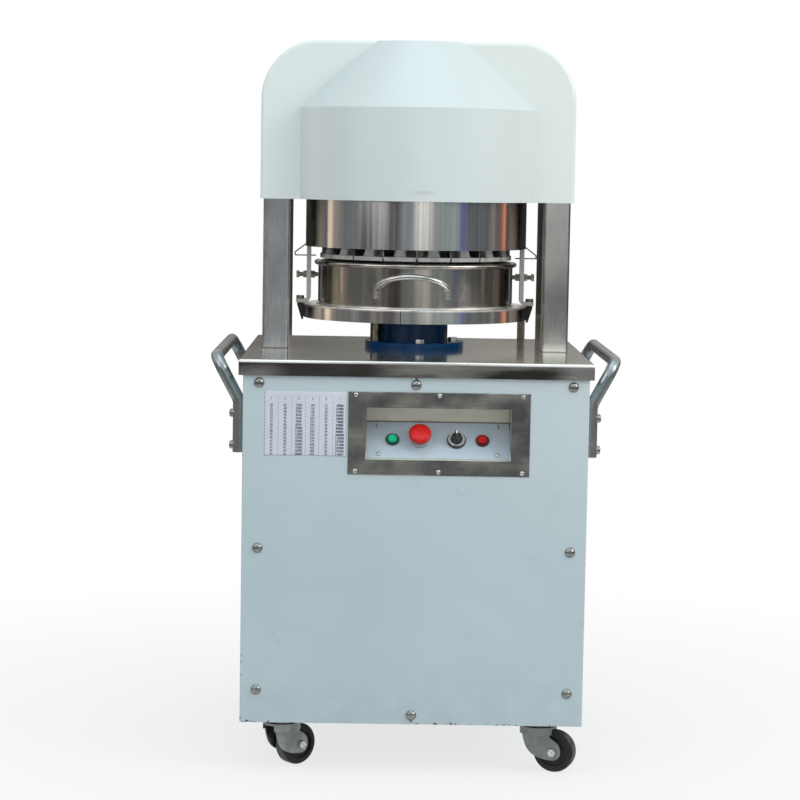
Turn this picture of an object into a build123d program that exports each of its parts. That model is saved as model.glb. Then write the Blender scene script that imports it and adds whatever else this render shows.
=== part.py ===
from build123d import *
import os
from math import atan2, cos, degrees, hypot, pi, radians, sin, sqrt

# Dough divider for thirty-six equal pieces, modelled in millimetres.
# The origin is on the floor under the middle of the table, +Z is up and the operator stands at -Y.

# Table and cabinet
table_height = 740.0
table_width = 625.0
table_depth = 640.0
table_edge = 28.0
table_sheet = 2.0
table_corner = 5.0
table_fold = 3.0
side_overhang = 8.0
front_overhang = 6.0
cabinet_clearance = 93.0
panel_sheet = 1.5
panel_return = 15.0
panel_fold = 2.0
panel_top_gap = 10.0
bottom_sheet = 4.0
frame_leg_width = 30.0
frame_wall = 4.0
seat_thickness = 8.0
seat_margin = 20.0
cable_hole_radius = 10.25
cable_hole_inset = 60.0
vent_length = 90.0
vent_width = 6.0
vent_pitch = 18.0
vent_rows = 7
vent_drop = 400.0

# Front panel screws: two rows measured down from the table, two up from the cabinet's underside
panel_screw_inset = 28.5
panel_screw_drop = 41.0
panel_screw_middle_drop = 334.0
panel_screw_rise = 59.0
panel_screw_low_rise = 16.5
panel_screw_radius = 8.8
panel_screw_height = 4.5
screw_shank_radius = 3.0
keyhole_radius = 2.2
keyhole_offset = 11.0

# Control recess in the front panel
bezel_left = -119.0
bezel_right = 201.0
bezel_top = 54.0
bezel_bottom = 201.0
bezel_thickness = 2.0
recess_left = -88.0
recess_right = 168.0
recess_top = 82.0
recess_bottom = 174.0
recess_depth = 64.0
recess_ledge = 14.0
recess_back_height = 32.0
recess_sheet = 1.5
control_plate_thickness = 2.0
control_plate_gap = 1.0
bezel_screw_radius = 4.2
bezel_screw_height = 2.6
bezel_screw_inset = 13.0
bezel_screw_rise = 5.5
plate_screw_radius = 3.2
plate_screw_height = 2.0
plate_screw_inset_x = 22.0
plate_screw_inset_y = 8.0
small_shank_radius = 1.6

# Push buttons and switches, by their distance from the middle of the front panel
start_x = -40.5
estop_x = 8.0
selector_x = 73.0
stop_x = 119.0
collar_shank_radius = 11.0
collar_back_radius = 14.0
collar_back_length = 34.0
button_ring_radius = 12.0
button_ring_height = 3.0
button_radius = 9.0
button_proud = 3.5
button_travel = 3.0
estop_collar_radius = 16.8
estop_collar_height = 10.0
estop_radius = 20.0
estop_underside = 3.0
estop_lip = 3.5
estop_dome = 4.5
estop_stem_radius = 8.0
estop_travel = 5.0
selector_ring_radius = 16.8
selector_ring_height = 3.0
selector_step_radius = 14.5
selector_step_height = 3.5
selector_knob_radius = 11.5
selector_skirt = 9.0
selector_skirt_taper = 18.0
selector_grip_width = 9.0
selector_grip_length = 22.0
selector_grip_height = 18.0
selector_grip_taper = 6.0
control_gap = 0.5

# Push handles of bent tube
handle_tube_radius = 11.0
handle_tube_wall = 2.0
handle_length = 470.0
handle_finger_gap = 33.5
handle_drop = 2.0
handle_leg_top = 80.0
handle_leg_bottom = 173.0
handle_bend = 28.0
handle_bolt_drops = (103.0, 160.0)
handle_bolt_radius = 7.5
handle_bolt_height = 6.0

# Swivel casters
caster_side_inset = 73.0
caster_end_inset = 60.0
caster_trail = 31.5
caster_plate_size = 88.0
caster_plate_thickness = 3.0
caster_race_radius = 28.0
caster_race_height = 7.0
caster_gap = 0.3
caster_crown_radius = 34.0
caster_crown_thickness = 4.0
caster_skirt_height = 10.0
caster_cheek = 3.0
caster_cheek_gap = 2.0
caster_axle_end = 15.0
kingpin_radius = 6.0
kingpin_head_radius = 10.0
kingpin_head_height = 4.0
wheel_radius = 37.5
wheel_width = 25.0
wheel_hub_radius = 15.0
wheel_tread_depth = 11.0
wheel_dish = 3.0
wheel_shoulder = 5.0
wheel_hub_gap = 0.5
axle_radius = 4.0
axle_head_across = 13.0
axle_head_height = 5.5
# How each caster happens to trail, as an angle from +X
caster_turns = {"front_left": 40.0, "front_right": -20.0, "rear_left": 25.0, "rear_right": -8.0}

# Columns and head
head_offset = 55.0
column_pitch = 522.0
column_width = 49.0
column_depth = 192.0
column_wall = 3.0
column_corner = 4.0
column_floor = 6.0
beam_bottom = 348.0
beam_thickness = 14.0
hood_bottom = 278.0
hood_top = 571.0
hood_side_gap = 3.0
hood_corner = 108.0
hood_wall = 3.0
hood_radius = 240.0
hood_cone_base = 447.0
hood_cone_top_radius = 125.0
hood_edge = 6.0

# Drum, press pads and knives, by their height above the table
drum_radius = 209.0
drum_wall = 1.5
drum_bottom = 189.5
drum_hem_height = 4.0
drum_hem_wall = 3.0
drum_slot_width = 22.0
drum_slot_height = 55.0
pad_counts = (6, 12, 18)
pad_circle_radius = 181.5
pad_bottom = 168.0
pad_thickness = 7.5
pad_centre_hole = 8.0
knife_lane = 3.4
post_width = 20.0
post_length = 17.0
post_corner = 4.0
post_flare = 4.0
post_radii = (46.0, 101.0, 168.5)
knife_thickness = 2.0
knife_edge = 172.0
knife_height = 58.0
knife_reach = 180.0
knife_plate_radius = 176.0
knife_plate_thickness = 8.0
knife_hub_radius = 5.0
post_clearance = 1.0
knife_rod_radius = 8.0
knife_rod_x = 122.0
knife_rod_top = 452.0
knife_cylinder_radius = 22.0
knife_cylinder_top = 475.0
press_plate_radius = 178.5
press_plate_bottom = 276.0
press_plate_thickness = 12.0
press_ram_radius = 18.0
press_ram_top = 465.0
press_cylinder_radius = 55.0
press_cylinder_top = 490.0
press_flange_radius = 78.0
press_flange_thickness = 12.0
rod_clearance = 0.3
running_clearance = 0.05

# Lift cylinder and tray
lift_flange_radius = 93.5
lift_flange_thickness = 12.0
lift_body_radius = 63.2
lift_body_top = 52.0
lift_barrel_radius = 60.0
lift_barrel_depth = 230.0
lift_barrel_floor = 20.0
lift_ram_radius = 40.0
lift_ram_depth = 160.0
flange_bolt_circle_radius = 74.0
flange_bolt_turn = 7.0
flange_bolt_across = 15.0
flange_bolt_height = 6.5
stop_stud_radius = 10.5
tray_radius = 212.0
tray_top = 81.5
tray_disc = 4.0
tray_skirt = 26.0
tray_skirt_wall = 3.0
tray_pad_radius = 188.0
tray_pad_height = 2.0
tray_hub_radius = 58.0
tray_hub_height = 12.0
stop_gap = 0.3

# Straps that hold the pan on the tray
strap_inner = 198.5
strap_thickness = 8.0
strap_width = 20.0
strap_top = 236.0
strap_foot_reach = 226.0
strap_foot_thickness = 7.0
strap_bend = 12.0
strap_bolt_x = 218.2
strap_bolt_across = 13.0
strap_bolt_height = 6.0
bracket_width = 16.0
bracket_reach = 224.0
bracket_lip = 4.0
bracket_foot = 3.0
bracket_drop = 32.0
centring_height = 135.0
centring_radius = 4.0
centring_across = 13.0
centring_nut = 6.5
centring_inner_nut = 8.0
centring_head = 5.5
centring_reach = 226.0
thread_clearance = 0.1
clip_wire_radius = 1.2
clip_top = 193.0
clip_elbow_reach = 229.0
clip_elbow_height = 177.0
clip_low_height = 171.0
clip_tip = 189.0

# Guide bar that keeps the tray from turning
guide_x = 218.0
guide_rail_gap = 8.5
guide_width = 15.0
guide_thickness = 6.0
guide_arm_height = 47.0
guide_root_radius = 180.0
guide_drop = 150.0
guide_slot_gap = 1.5
guide_block_width = 40.0
guide_block_depth = 20.0
guide_block_height = 36.0
guide_block_drop = 40.0

# Pan
pan_radius = 184.5
pan_wall = 1.5
pan_floor = 2.0
pan_height = 79.8
pan_seat_gap = 0.2
pan_rim_radius = 4.5
pan_rim_gap = 0.05
pan_turn = -2.7
lug_width = 15.0
lug_thickness = 3.0
lug_bottom = 98.0
lug_top = 122.0
pan_handle_radius = 5.0
pan_handle_width = 130.0
pan_handle_reach = 26.0
pan_handle_rise = 23.0
pan_handle_lean = 14.0
pan_handle_foot = 118.0
rivet_radius = 3.0
rivet_height = 2.0
rivet_heights = (101.5, 108.5)

# Hydraulic power pack in the cabinet
tank_width = 300.0
tank_depth = 220.0
tank_height = 190.0
tank_corner = 12.0
tank_wall = 4.0
filler_radius = 20.0
filler_inset = 45.0
motor_radius = 75.0
motor_length = 190.0
pump_radius = 42.0
pump_length = 90.0

# Sizes that follow from the driving ones
head_y = head_offset
cabinet_width = table_width - 2 * side_overhang
cabinet_depth = table_depth - 2 * front_overhang
panel_front_y = -cabinet_depth / 2
panel_bottom = cabinet_clearance
panel_top = table_height - panel_top_gap
table_under = table_height - table_sheet
frame_width = cabinet_width - 2 * panel_sheet
frame_depth = cabinet_depth - 2 * panel_sheet
frame_bottom = cabinet_clearance + bottom_sheet
column_x = column_pitch / 2
head_axis = Axis((0, head_y, 0), (0, 0, 1))
pad_total = sum(pad_counts)
# Ring limits give every piece of dough the same area
ring_limits = [
    pad_circle_radius * sqrt(sum(pad_counts[: ring + 1]) / pad_total) for ring in range(len(pad_counts))
]

os.makedirs("parts", exist_ok=True)


def keep(piece, node):
    """Labels a finished piece and writes it to its own STEP file."""
    piece.part.label = node
    export_step(piece.part, f"parts/{node}.step")


def level(height, x=0.0, y=0.0):
    """Horizontal sketch plane at a height above the floor."""
    return Plane(origin=(x, y, height))


def above_table(height, x=0.0):
    """Horizontal sketch plane on the head axis, at a height above the table."""
    return Plane(origin=(x, head_y, table_height + height))


def facing_front(y, x=0.0, z=0.0):
    """Upright sketch plane whose normal points at the operator."""
    return Plane(origin=(x, y, z), x_dir=(1, 0, 0), z_dir=(0, -1, 0))


def facing_side(x, y=0.0, z=0.0):
    """Upright sketch plane whose normal points along +X; its own x runs along +Y."""
    return Plane(origin=(x, y, z), x_dir=(0, 1, 0), z_dir=(1, 0, 0))


# Half section through the head axis: x is the radius, y the height above the table
head_section = Plane(origin=(0, head_y, table_height), x_dir=(1, 0, 0), z_dir=(0, -1, 0))

# Guide bar plane: x runs out from the head axis towards the bar, y is the height above the table
guide_y = frame_depth / 2 - frame_wall - guide_rail_gap
guide_angle = degrees(atan2(guide_y - head_y, guide_x))
guide_distance = hypot(guide_x, guide_y - head_y)
guide_plane = Plane(
    origin=(0, head_y, table_height),
    x_dir=(cos(radians(guide_angle)), sin(radians(guide_angle)), 0),
    z_dir=(sin(radians(guide_angle)), -cos(radians(guide_angle)), 0),
)

# The leaning control plate rises from the ledge to the foot of the recess's back wall
recess_middle = (recess_left + recess_right) / 2
recess_width = recess_right - recess_left
slope_foot = (panel_front_y + recess_ledge, table_height - recess_bottom)
slope_head = (panel_front_y + recess_depth, table_height - recess_top - recess_back_height)
slope_run = slope_head[0] - slope_foot[0]
slope_rise = slope_head[1] - slope_foot[1]
slope_length = hypot(slope_run, slope_rise)
slope_normal = (0, -slope_rise / slope_length, slope_run / slope_length)
slope_plane = Plane(
    origin=(0, (slope_foot[0] + slope_head[0]) / 2, (slope_foot[1] + slope_head[1]) / 2),
    x_dir=(1, 0, 0),
    z_dir=slope_normal,
)
control_face = slope_plane.offset(control_plate_thickness)
control_xs = (start_x, estop_x, selector_x, stop_x)

# Angle frame: four corner posts, two rings and the seat plate under columns and cylinder
with BuildPart() as base_frame:
    with BuildSketch(level(frame_bottom)):
        Rectangle(frame_width, frame_depth)
        Rectangle(frame_width - 2 * frame_wall, frame_depth - 2 * frame_wall, mode=Mode.SUBTRACT)
        Rectangle(frame_width - 2 * frame_leg_width, frame_depth, mode=Mode.SUBTRACT)
        Rectangle(frame_width, frame_depth - 2 * frame_leg_width, mode=Mode.SUBTRACT)
    extrude(amount=table_under - frame_bottom)
    for ring_height in (frame_bottom, table_under - frame_leg_width):
        with BuildSketch(level(ring_height)):
            Rectangle(frame_width, frame_depth)
            Rectangle(frame_width - 2 * frame_wall, frame_depth - 2 * frame_wall, mode=Mode.SUBTRACT)
        extrude(amount=frame_leg_width)
    with BuildSketch(level(table_under - seat_thickness, y=head_y)):
        Rectangle(frame_width, column_depth + 2 * seat_margin)
        Circle(lift_barrel_radius + rod_clearance, mode=Mode.SUBTRACT)
    extrude(amount=seat_thickness)
keep(base_frame, "base_frame")

# Bottom plate with the hole for the supply cable at the back
with BuildPart() as bottom_plate:
    with BuildSketch(level(cabinet_clearance)):
        Rectangle(frame_width, frame_depth)
        with Locations((0, frame_depth / 2 - cable_hole_inset)):
            Circle(cable_hole_radius, mode=Mode.SUBTRACT)
    extrude(amount=bottom_sheet)
keep(bottom_plate, "bottom_plate")

# Side panels between the returns of the front and rear panels, one each side
with BuildPart() as side_panels:
    for side in (-1, 1):
        with BuildSketch(facing_side(side * cabinet_width / 2)):
            with Locations((0, (panel_bottom + panel_top) / 2)):
                Rectangle(cabinet_depth - 2 * panel_return, panel_top - panel_bottom)
        extrude(amount=-side * panel_sheet)
keep(side_panels, "side_panels")

# Rear panel with ventilation slots
with BuildPart() as rear_panel:
    with BuildSketch(level(panel_bottom)):
        with Locations((0, cabinet_depth / 2 - panel_return / 2)):
            Rectangle(cabinet_width, panel_return)
        with Locations((0, cabinet_depth / 2 - (panel_return + panel_sheet) / 2 - panel_sheet / 2)):
            Rectangle(frame_width, panel_return, mode=Mode.SUBTRACT)
    extrude(amount=panel_top - panel_bottom)
    fillet(rear_panel.edges().filter_by(Axis.Z).group_by(Axis.Y)[-1], radius=panel_fold)
    with BuildSketch(facing_front(cabinet_depth / 2, z=table_height - vent_drop)):
        with GridLocations(2 * vent_length, vent_pitch, 2, vent_rows):
            SlotOverall(vent_length, vent_width)
    extrude(amount=panel_return, both=True, mode=Mode.SUBTRACT)
keep(rear_panel, "rear_panel")

# Front panel with the control opening, screw holes and two keyholes
panel_screw_x = cabinet_width / 2 - panel_screw_inset
high_screws = table_height - panel_screw_drop
low_screw = panel_bottom + panel_screw_low_rise
side_screws = (high_screws, table_height - panel_screw_middle_drop, panel_bottom + panel_screw_rise)
panel_screw_places = [(side * panel_screw_x, height) for height in side_screws for side in (-1, 1)]
panel_screw_places += [(0, high_screws), (0, low_screw)]
keyhole_places = [(0, high_screws + keyhole_offset), (0, low_screw - keyhole_offset)]
with BuildPart() as front_panel:
    with BuildSketch(level(panel_bottom)):
        with Locations((0, panel_front_y + panel_return / 2)):
            Rectangle(cabinet_width, panel_return)
        with Locations((0, panel_front_y + panel_sheet + panel_return / 2)):
            Rectangle(frame_width, panel_return, mode=Mode.SUBTRACT)
    extrude(amount=panel_top - panel_bottom)
    fillet(front_panel.edges().filter_by(Axis.Z).group_by(Axis.Y)[0], radius=panel_fold)
    with BuildSketch(facing_front(panel_front_y + panel_sheet)):
        with Locations((recess_middle, table_height - (recess_top + recess_bottom) / 2)):
            Rectangle(recess_width + 2 * recess_sheet, recess_bottom - recess_top + 2 * recess_sheet)
        with Locations(*panel_screw_places):
            Circle(screw_shank_radius + thread_clearance)
        with Locations(*keyhole_places):
            Circle(keyhole_radius)
    extrude(amount=panel_sheet, mode=Mode.SUBTRACT)
keep(front_panel, "front_panel")

# Domed screws of the front panel
with BuildPart() as panel_screws:
    with BuildSketch(facing_front(panel_front_y)):
        with Locations(*panel_screw_places):
            Circle(panel_screw_radius)
    extrude(amount=panel_screw_height)
    fillet(panel_screws.edges().group_by(Axis.Y)[0], radius=panel_screw_height * 0.9)
    with BuildSketch(facing_front(panel_front_y)):
        with Locations(*panel_screw_places):
            Circle(screw_shank_radius)
    extrude(amount=-panel_sheet)
keep(panel_screws, "panel_screws")

# Stainless table top, folded down all round, with the cylinder hole and the guide slot
with BuildPart() as table_top:
    with BuildSketch(level(table_height - table_edge)):
        RectangleRounded(table_width, table_depth, table_corner)
    extrude(amount=table_edge)
    fillet(table_top.faces().sort_by(Axis.Z)[-1].edges(), radius=table_fold)
    with BuildSketch(level(table_height - table_edge)):
        RectangleRounded(table_width - 2 * table_sheet, table_depth - 2 * table_sheet, table_corner - table_sheet)
    extrude(amount=table_edge - table_sheet, mode=Mode.SUBTRACT)
    with BuildSketch(level(table_under, y=head_y)):
        Circle(lift_barrel_radius + rod_clearance)
        with Locations(Location((guide_x, guide_y - head_y), guide_angle)):
            Rectangle(guide_thickness + 2 * guide_slot_gap, guide_width + 2 * guide_slot_gap)
    extrude(amount=table_sheet, mode=Mode.SUBTRACT)
keep(table_top, "table_top")

# Stainless frame round the control recess
with BuildPart() as control_bezel:
    with BuildSketch(facing_front(panel_front_y, z=table_height)):
        with Locations(((bezel_left + bezel_right) / 2, -(bezel_top + bezel_bottom) / 2)):
            Rectangle(bezel_right - bezel_left, bezel_bottom - bezel_top)
        with Locations((recess_middle, -(recess_top + recess_bottom) / 2)):
            Rectangle(recess_width, recess_bottom - recess_top, mode=Mode.SUBTRACT)
    extrude(amount=bezel_thickness)
    chamfer(control_bezel.faces().sort_by(Axis.Y)[0].outer_wire().edges(), length=bezel_thickness / 2)
keep(control_bezel, "control_bezel")

# Sunk control box: roof, polished back wall, leaning floor and two side walls
with BuildPart() as control_box:
    for grown, mode in ((recess_sheet, Mode.ADD), (0.0, Mode.SUBTRACT)):
        with BuildSketch(facing_side(recess_left - grown)):
            with BuildLine():
                Polyline(
                    (panel_front_y, table_height - recess_top + grown),
                    (slope_head[0] + grown, table_height - recess_top + grown),
                    (slope_head[0] + grown, slope_head[1] - grown),
                    (slope_foot[0] + grown, slope_foot[1] - grown),
                    (panel_front_y, slope_foot[1] - grown),
                    close=True,
                )
            make_face()
        extrude(amount=recess_width + 2 * grown, mode=mode)
    with BuildSketch(slope_plane):
        with Locations(*[(x, 0) for x in control_xs]):
            Circle(collar_shank_radius + thread_clearance)
    extrude(amount=-3 * recess_sheet, mode=Mode.SUBTRACT)
keep(control_box, "control_box")

# Pale plate that carries the buttons
plate_length = recess_width - 2 * control_plate_gap
plate_screw_x = plate_length / 2 - plate_screw_inset_x
plate_screw_y = slope_length / 2 - control_plate_gap - plate_screw_inset_y
with BuildPart() as control_plate:
    with BuildSketch(slope_plane):
        with Locations((recess_middle, 0)):
            Rectangle(plate_length, slope_length - 2 * control_plate_gap)
        with Locations(*[(x, 0) for x in control_xs]):
            Circle(collar_shank_radius + thread_clearance, mode=Mode.SUBTRACT)
    extrude(amount=control_plate_thickness)
keep(control_plate, "control_plate")

# Small screws of the bezel and of the control plate
bezel_screw_xs = (bezel_left + bezel_screw_inset, (bezel_left + bezel_right) / 2, bezel_right - bezel_screw_inset)
bezel_screw_drops = (bezel_top + bezel_screw_rise, bezel_bottom - bezel_screw_rise - 1)
with BuildPart() as control_screws:
    with BuildSketch(facing_front(panel_front_y - bezel_thickness, z=table_height)):
        with Locations(*[(x, -drop) for x in bezel_screw_xs for drop in bezel_screw_drops]):
            Circle(bezel_screw_radius)
    extrude(amount=bezel_screw_height)
    fillet(control_screws.edges().group_by(Axis.Y)[0], radius=bezel_screw_height * 0.9)
    with BuildSketch(control_face):
        with Locations((recess_middle, 0)):
            with GridLocations(2 * plate_screw_x, 2 * plate_screw_y, 2, 2):
                Circle(plate_screw_radius)
    extrude(amount=plate_screw_height)
keep(control_screws, "control_screws")

# Collars of the four controls, each with its ring in front and its contact body behind the plate
collar_depth = control_plate_thickness + 2 * recess_sheet
selector_top = selector_ring_height + selector_step_height
# Radius, top and bottom of each collar's steps, measured from the plate's face, and its bore
control_collar_steps = (
    (start_x, button_radius, ((button_ring_radius, button_ring_height, 0.0),)),
    (estop_x, estop_stem_radius, ((estop_collar_radius, estop_collar_height, 0.0),)),
    (selector_x, estop_stem_radius, (
        (selector_ring_radius, selector_ring_height, 0.0),
        (selector_step_radius, selector_top, selector_ring_height),
    )),
    (stop_x, button_radius, ((button_ring_radius, button_ring_height, 0.0),)),
)
with BuildPart() as control_collars:
    for x, bore, front_steps in control_collar_steps:
        for radius, top, bottom in (
            *front_steps,
            (collar_shank_radius, 0.0, -collar_depth),
            (collar_back_radius, -collar_depth, -collar_depth - collar_back_length),
        ):
            with BuildSketch(control_face.offset(top)):
                with Locations((x, 0)):
                    Circle(radius)
            extrude(amount=bottom - top)
        front = front_steps[-1][1]
        with BuildSketch(control_face.offset(front)):
            with Locations((x, 0)):
                Circle(bore + running_clearance)
        extrude(amount=-front - collar_depth - collar_back_length / 2, mode=Mode.SUBTRACT)
keep(control_collars, "control_collars")

# Start and stop buttons: flat caps on plungers
control_axis = Axis(slope_plane.origin, slope_normal)
for x, node in ((start_x, "start_button"), (stop_x, "stop_button")):
    with BuildPart() as push_button:
        with BuildSketch(control_face.offset(-collar_depth)):
            with Locations((x, 0)):
                Circle(button_radius)
        extrude(amount=collar_depth + button_ring_height + button_proud)
        fillet(push_button.faces().sort_by(control_axis)[-1].edges(), radius=1.2)
    keep(push_button, node)

# Emergency stop: mushroom cap turned with its stem, seen here in half section through its axis
estop_centre = control_face.from_local_coords(Vector(estop_x, 0, 0))
estop_section = Plane(origin=estop_centre, x_dir=(1, 0, 0), z_dir=(0, -slope_normal[2], slope_normal[1]))
cap_bottom = estop_collar_height + estop_travel + control_gap
cap_edge = cap_bottom + estop_underside
cap_shoulder = cap_edge + estop_lip
with BuildPart() as estop_cap:
    with BuildSketch(estop_section):
        with BuildLine():
            Polyline(
                (0, cap_shoulder + estop_dome),
                (0, -collar_depth),
                (estop_stem_radius, -collar_depth),
                (estop_stem_radius, cap_bottom),
                (estop_collar_radius, cap_bottom),
                (estop_radius, cap_edge),
                (estop_radius, cap_shoulder),
            )
            Bezier(
                (estop_radius, cap_shoulder),
                (estop_radius, cap_shoulder + estop_dome),
                (estop_radius / 2, cap_shoulder + estop_dome),
                (0, cap_shoulder + estop_dome),
            )
        make_face()
    revolve(axis=Axis(estop_centre, slope_normal))
keep(estop_cap, "estop_cap")

# Selector: conical knob with a raised grip
knob_foot = selector_top + running_clearance
with BuildPart() as selector_knob:
    with BuildSketch(control_face.offset(-collar_depth)):
        with Locations((selector_x, 0)):
            Circle(estop_stem_radius)
    extrude(amount=collar_depth + knob_foot)
    with BuildSketch(control_face.offset(knob_foot)):
        with Locations((selector_x, 0)):
            Circle(selector_knob_radius)
    extrude(amount=selector_skirt, taper=selector_skirt_taper)
    with BuildSketch(control_face.offset(knob_foot)):
        with Locations((selector_x, 0)):
            SlotOverall(selector_grip_length, selector_grip_width, rotation=90)
    extrude(amount=selector_grip_height, taper=selector_grip_taper)
    fillet(selector_knob.faces().sort_by(control_axis)[-1].edges(), radius=1.0)
keep(selector_knob, "selector_knob")

# Push handles: bent tube down each side of the cabinet
handle_leg_x = cabinet_width / 2 + handle_tube_radius
handle_reach = table_width / 2 + handle_finger_gap + handle_tube_radius
with BuildPart() as handles:
    for side in (-1, 1):
        with BuildLine() as handle_path:
            FilletPolyline(
                (side * handle_leg_x, -handle_length / 2, table_height - handle_leg_bottom),
                (side * handle_leg_x, -handle_length / 2, table_height - handle_leg_top),
                (side * handle_reach, -handle_length / 2, table_height - handle_drop),
                (side * handle_reach, handle_length / 2, table_height - handle_drop),
                (side * handle_leg_x, handle_length / 2, table_height - handle_leg_top),
                (side * handle_leg_x, handle_length / 2, table_height - handle_leg_bottom),
                radius=handle_bend,
            )
        with BuildSketch(level(table_height - handle_leg_bottom, side * handle_leg_x, -handle_length / 2)):
            Circle(handle_tube_radius)
            Circle(handle_tube_radius - handle_tube_wall, mode=Mode.SUBTRACT)
        sweep(path=handle_path.wires()[0])
keep(handles, "handles")

# Domed bolts of the handles, each head cut to sit on its tube
with BuildPart() as handle_bolts:
    for side in (-1, 1):
        with BuildSketch(facing_side(side * handle_leg_x, z=table_height)):
            with Locations(*[(end * handle_length / 2, -drop) for end in (-1, 1) for drop in handle_bolt_drops]):
                Circle(handle_bolt_radius)
        extrude(amount=side * (handle_tube_radius + handle_bolt_height))
    fillet(handle_bolts.edges().group_by(Axis.X)[0], radius=handle_bolt_height * 0.6)
    fillet(handle_bolts.edges().group_by(Axis.X)[-1], radius=handle_bolt_height * 0.6)
    with BuildSketch(level(table_height - handle_leg_bottom)):
        with GridLocations(2 * handle_leg_x, handle_length, 2, 2):
            Circle(handle_tube_radius)
    extrude(amount=handle_leg_bottom, mode=Mode.SUBTRACT)
keep(handle_bolts, "handle_bolts")

# Caster plates with their ball races and kingpins, bolted under the bottom plate
caster_x = cabinet_width / 2 - caster_side_inset
caster_y = cabinet_depth / 2 - caster_end_inset
caster_places = {
    "front_left": (-caster_x, -caster_y),
    "front_right": (caster_x, -caster_y),
    "rear_left": (-caster_x, caster_y),
    "rear_right": (caster_x, caster_y),
}
race_bottom = cabinet_clearance - caster_plate_thickness - caster_race_height
crown_top = race_bottom - caster_gap
crown_bottom = crown_top - caster_crown_thickness
with BuildPart() as caster_plates:
    with BuildSketch(level(cabinet_clearance)):
        with GridLocations(2 * caster_x, 2 * caster_y, 2, 2):
            RectangleRounded(caster_plate_size, caster_plate_size, 6)
    extrude(amount=-caster_plate_thickness)
    for radius, top, bottom in (
        (caster_race_radius, cabinet_clearance, race_bottom),
        (kingpin_radius, race_bottom, crown_bottom - caster_gap),
        (kingpin_head_radius, crown_bottom - caster_gap, crown_bottom - caster_gap - kingpin_head_height),
    ):
        with BuildSketch(level(top)):
            with GridLocations(2 * caster_x, 2 * caster_y, 2, 2):
                Circle(radius)
        extrude(amount=bottom - top)
keep(caster_plates, "caster_plates")

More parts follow.
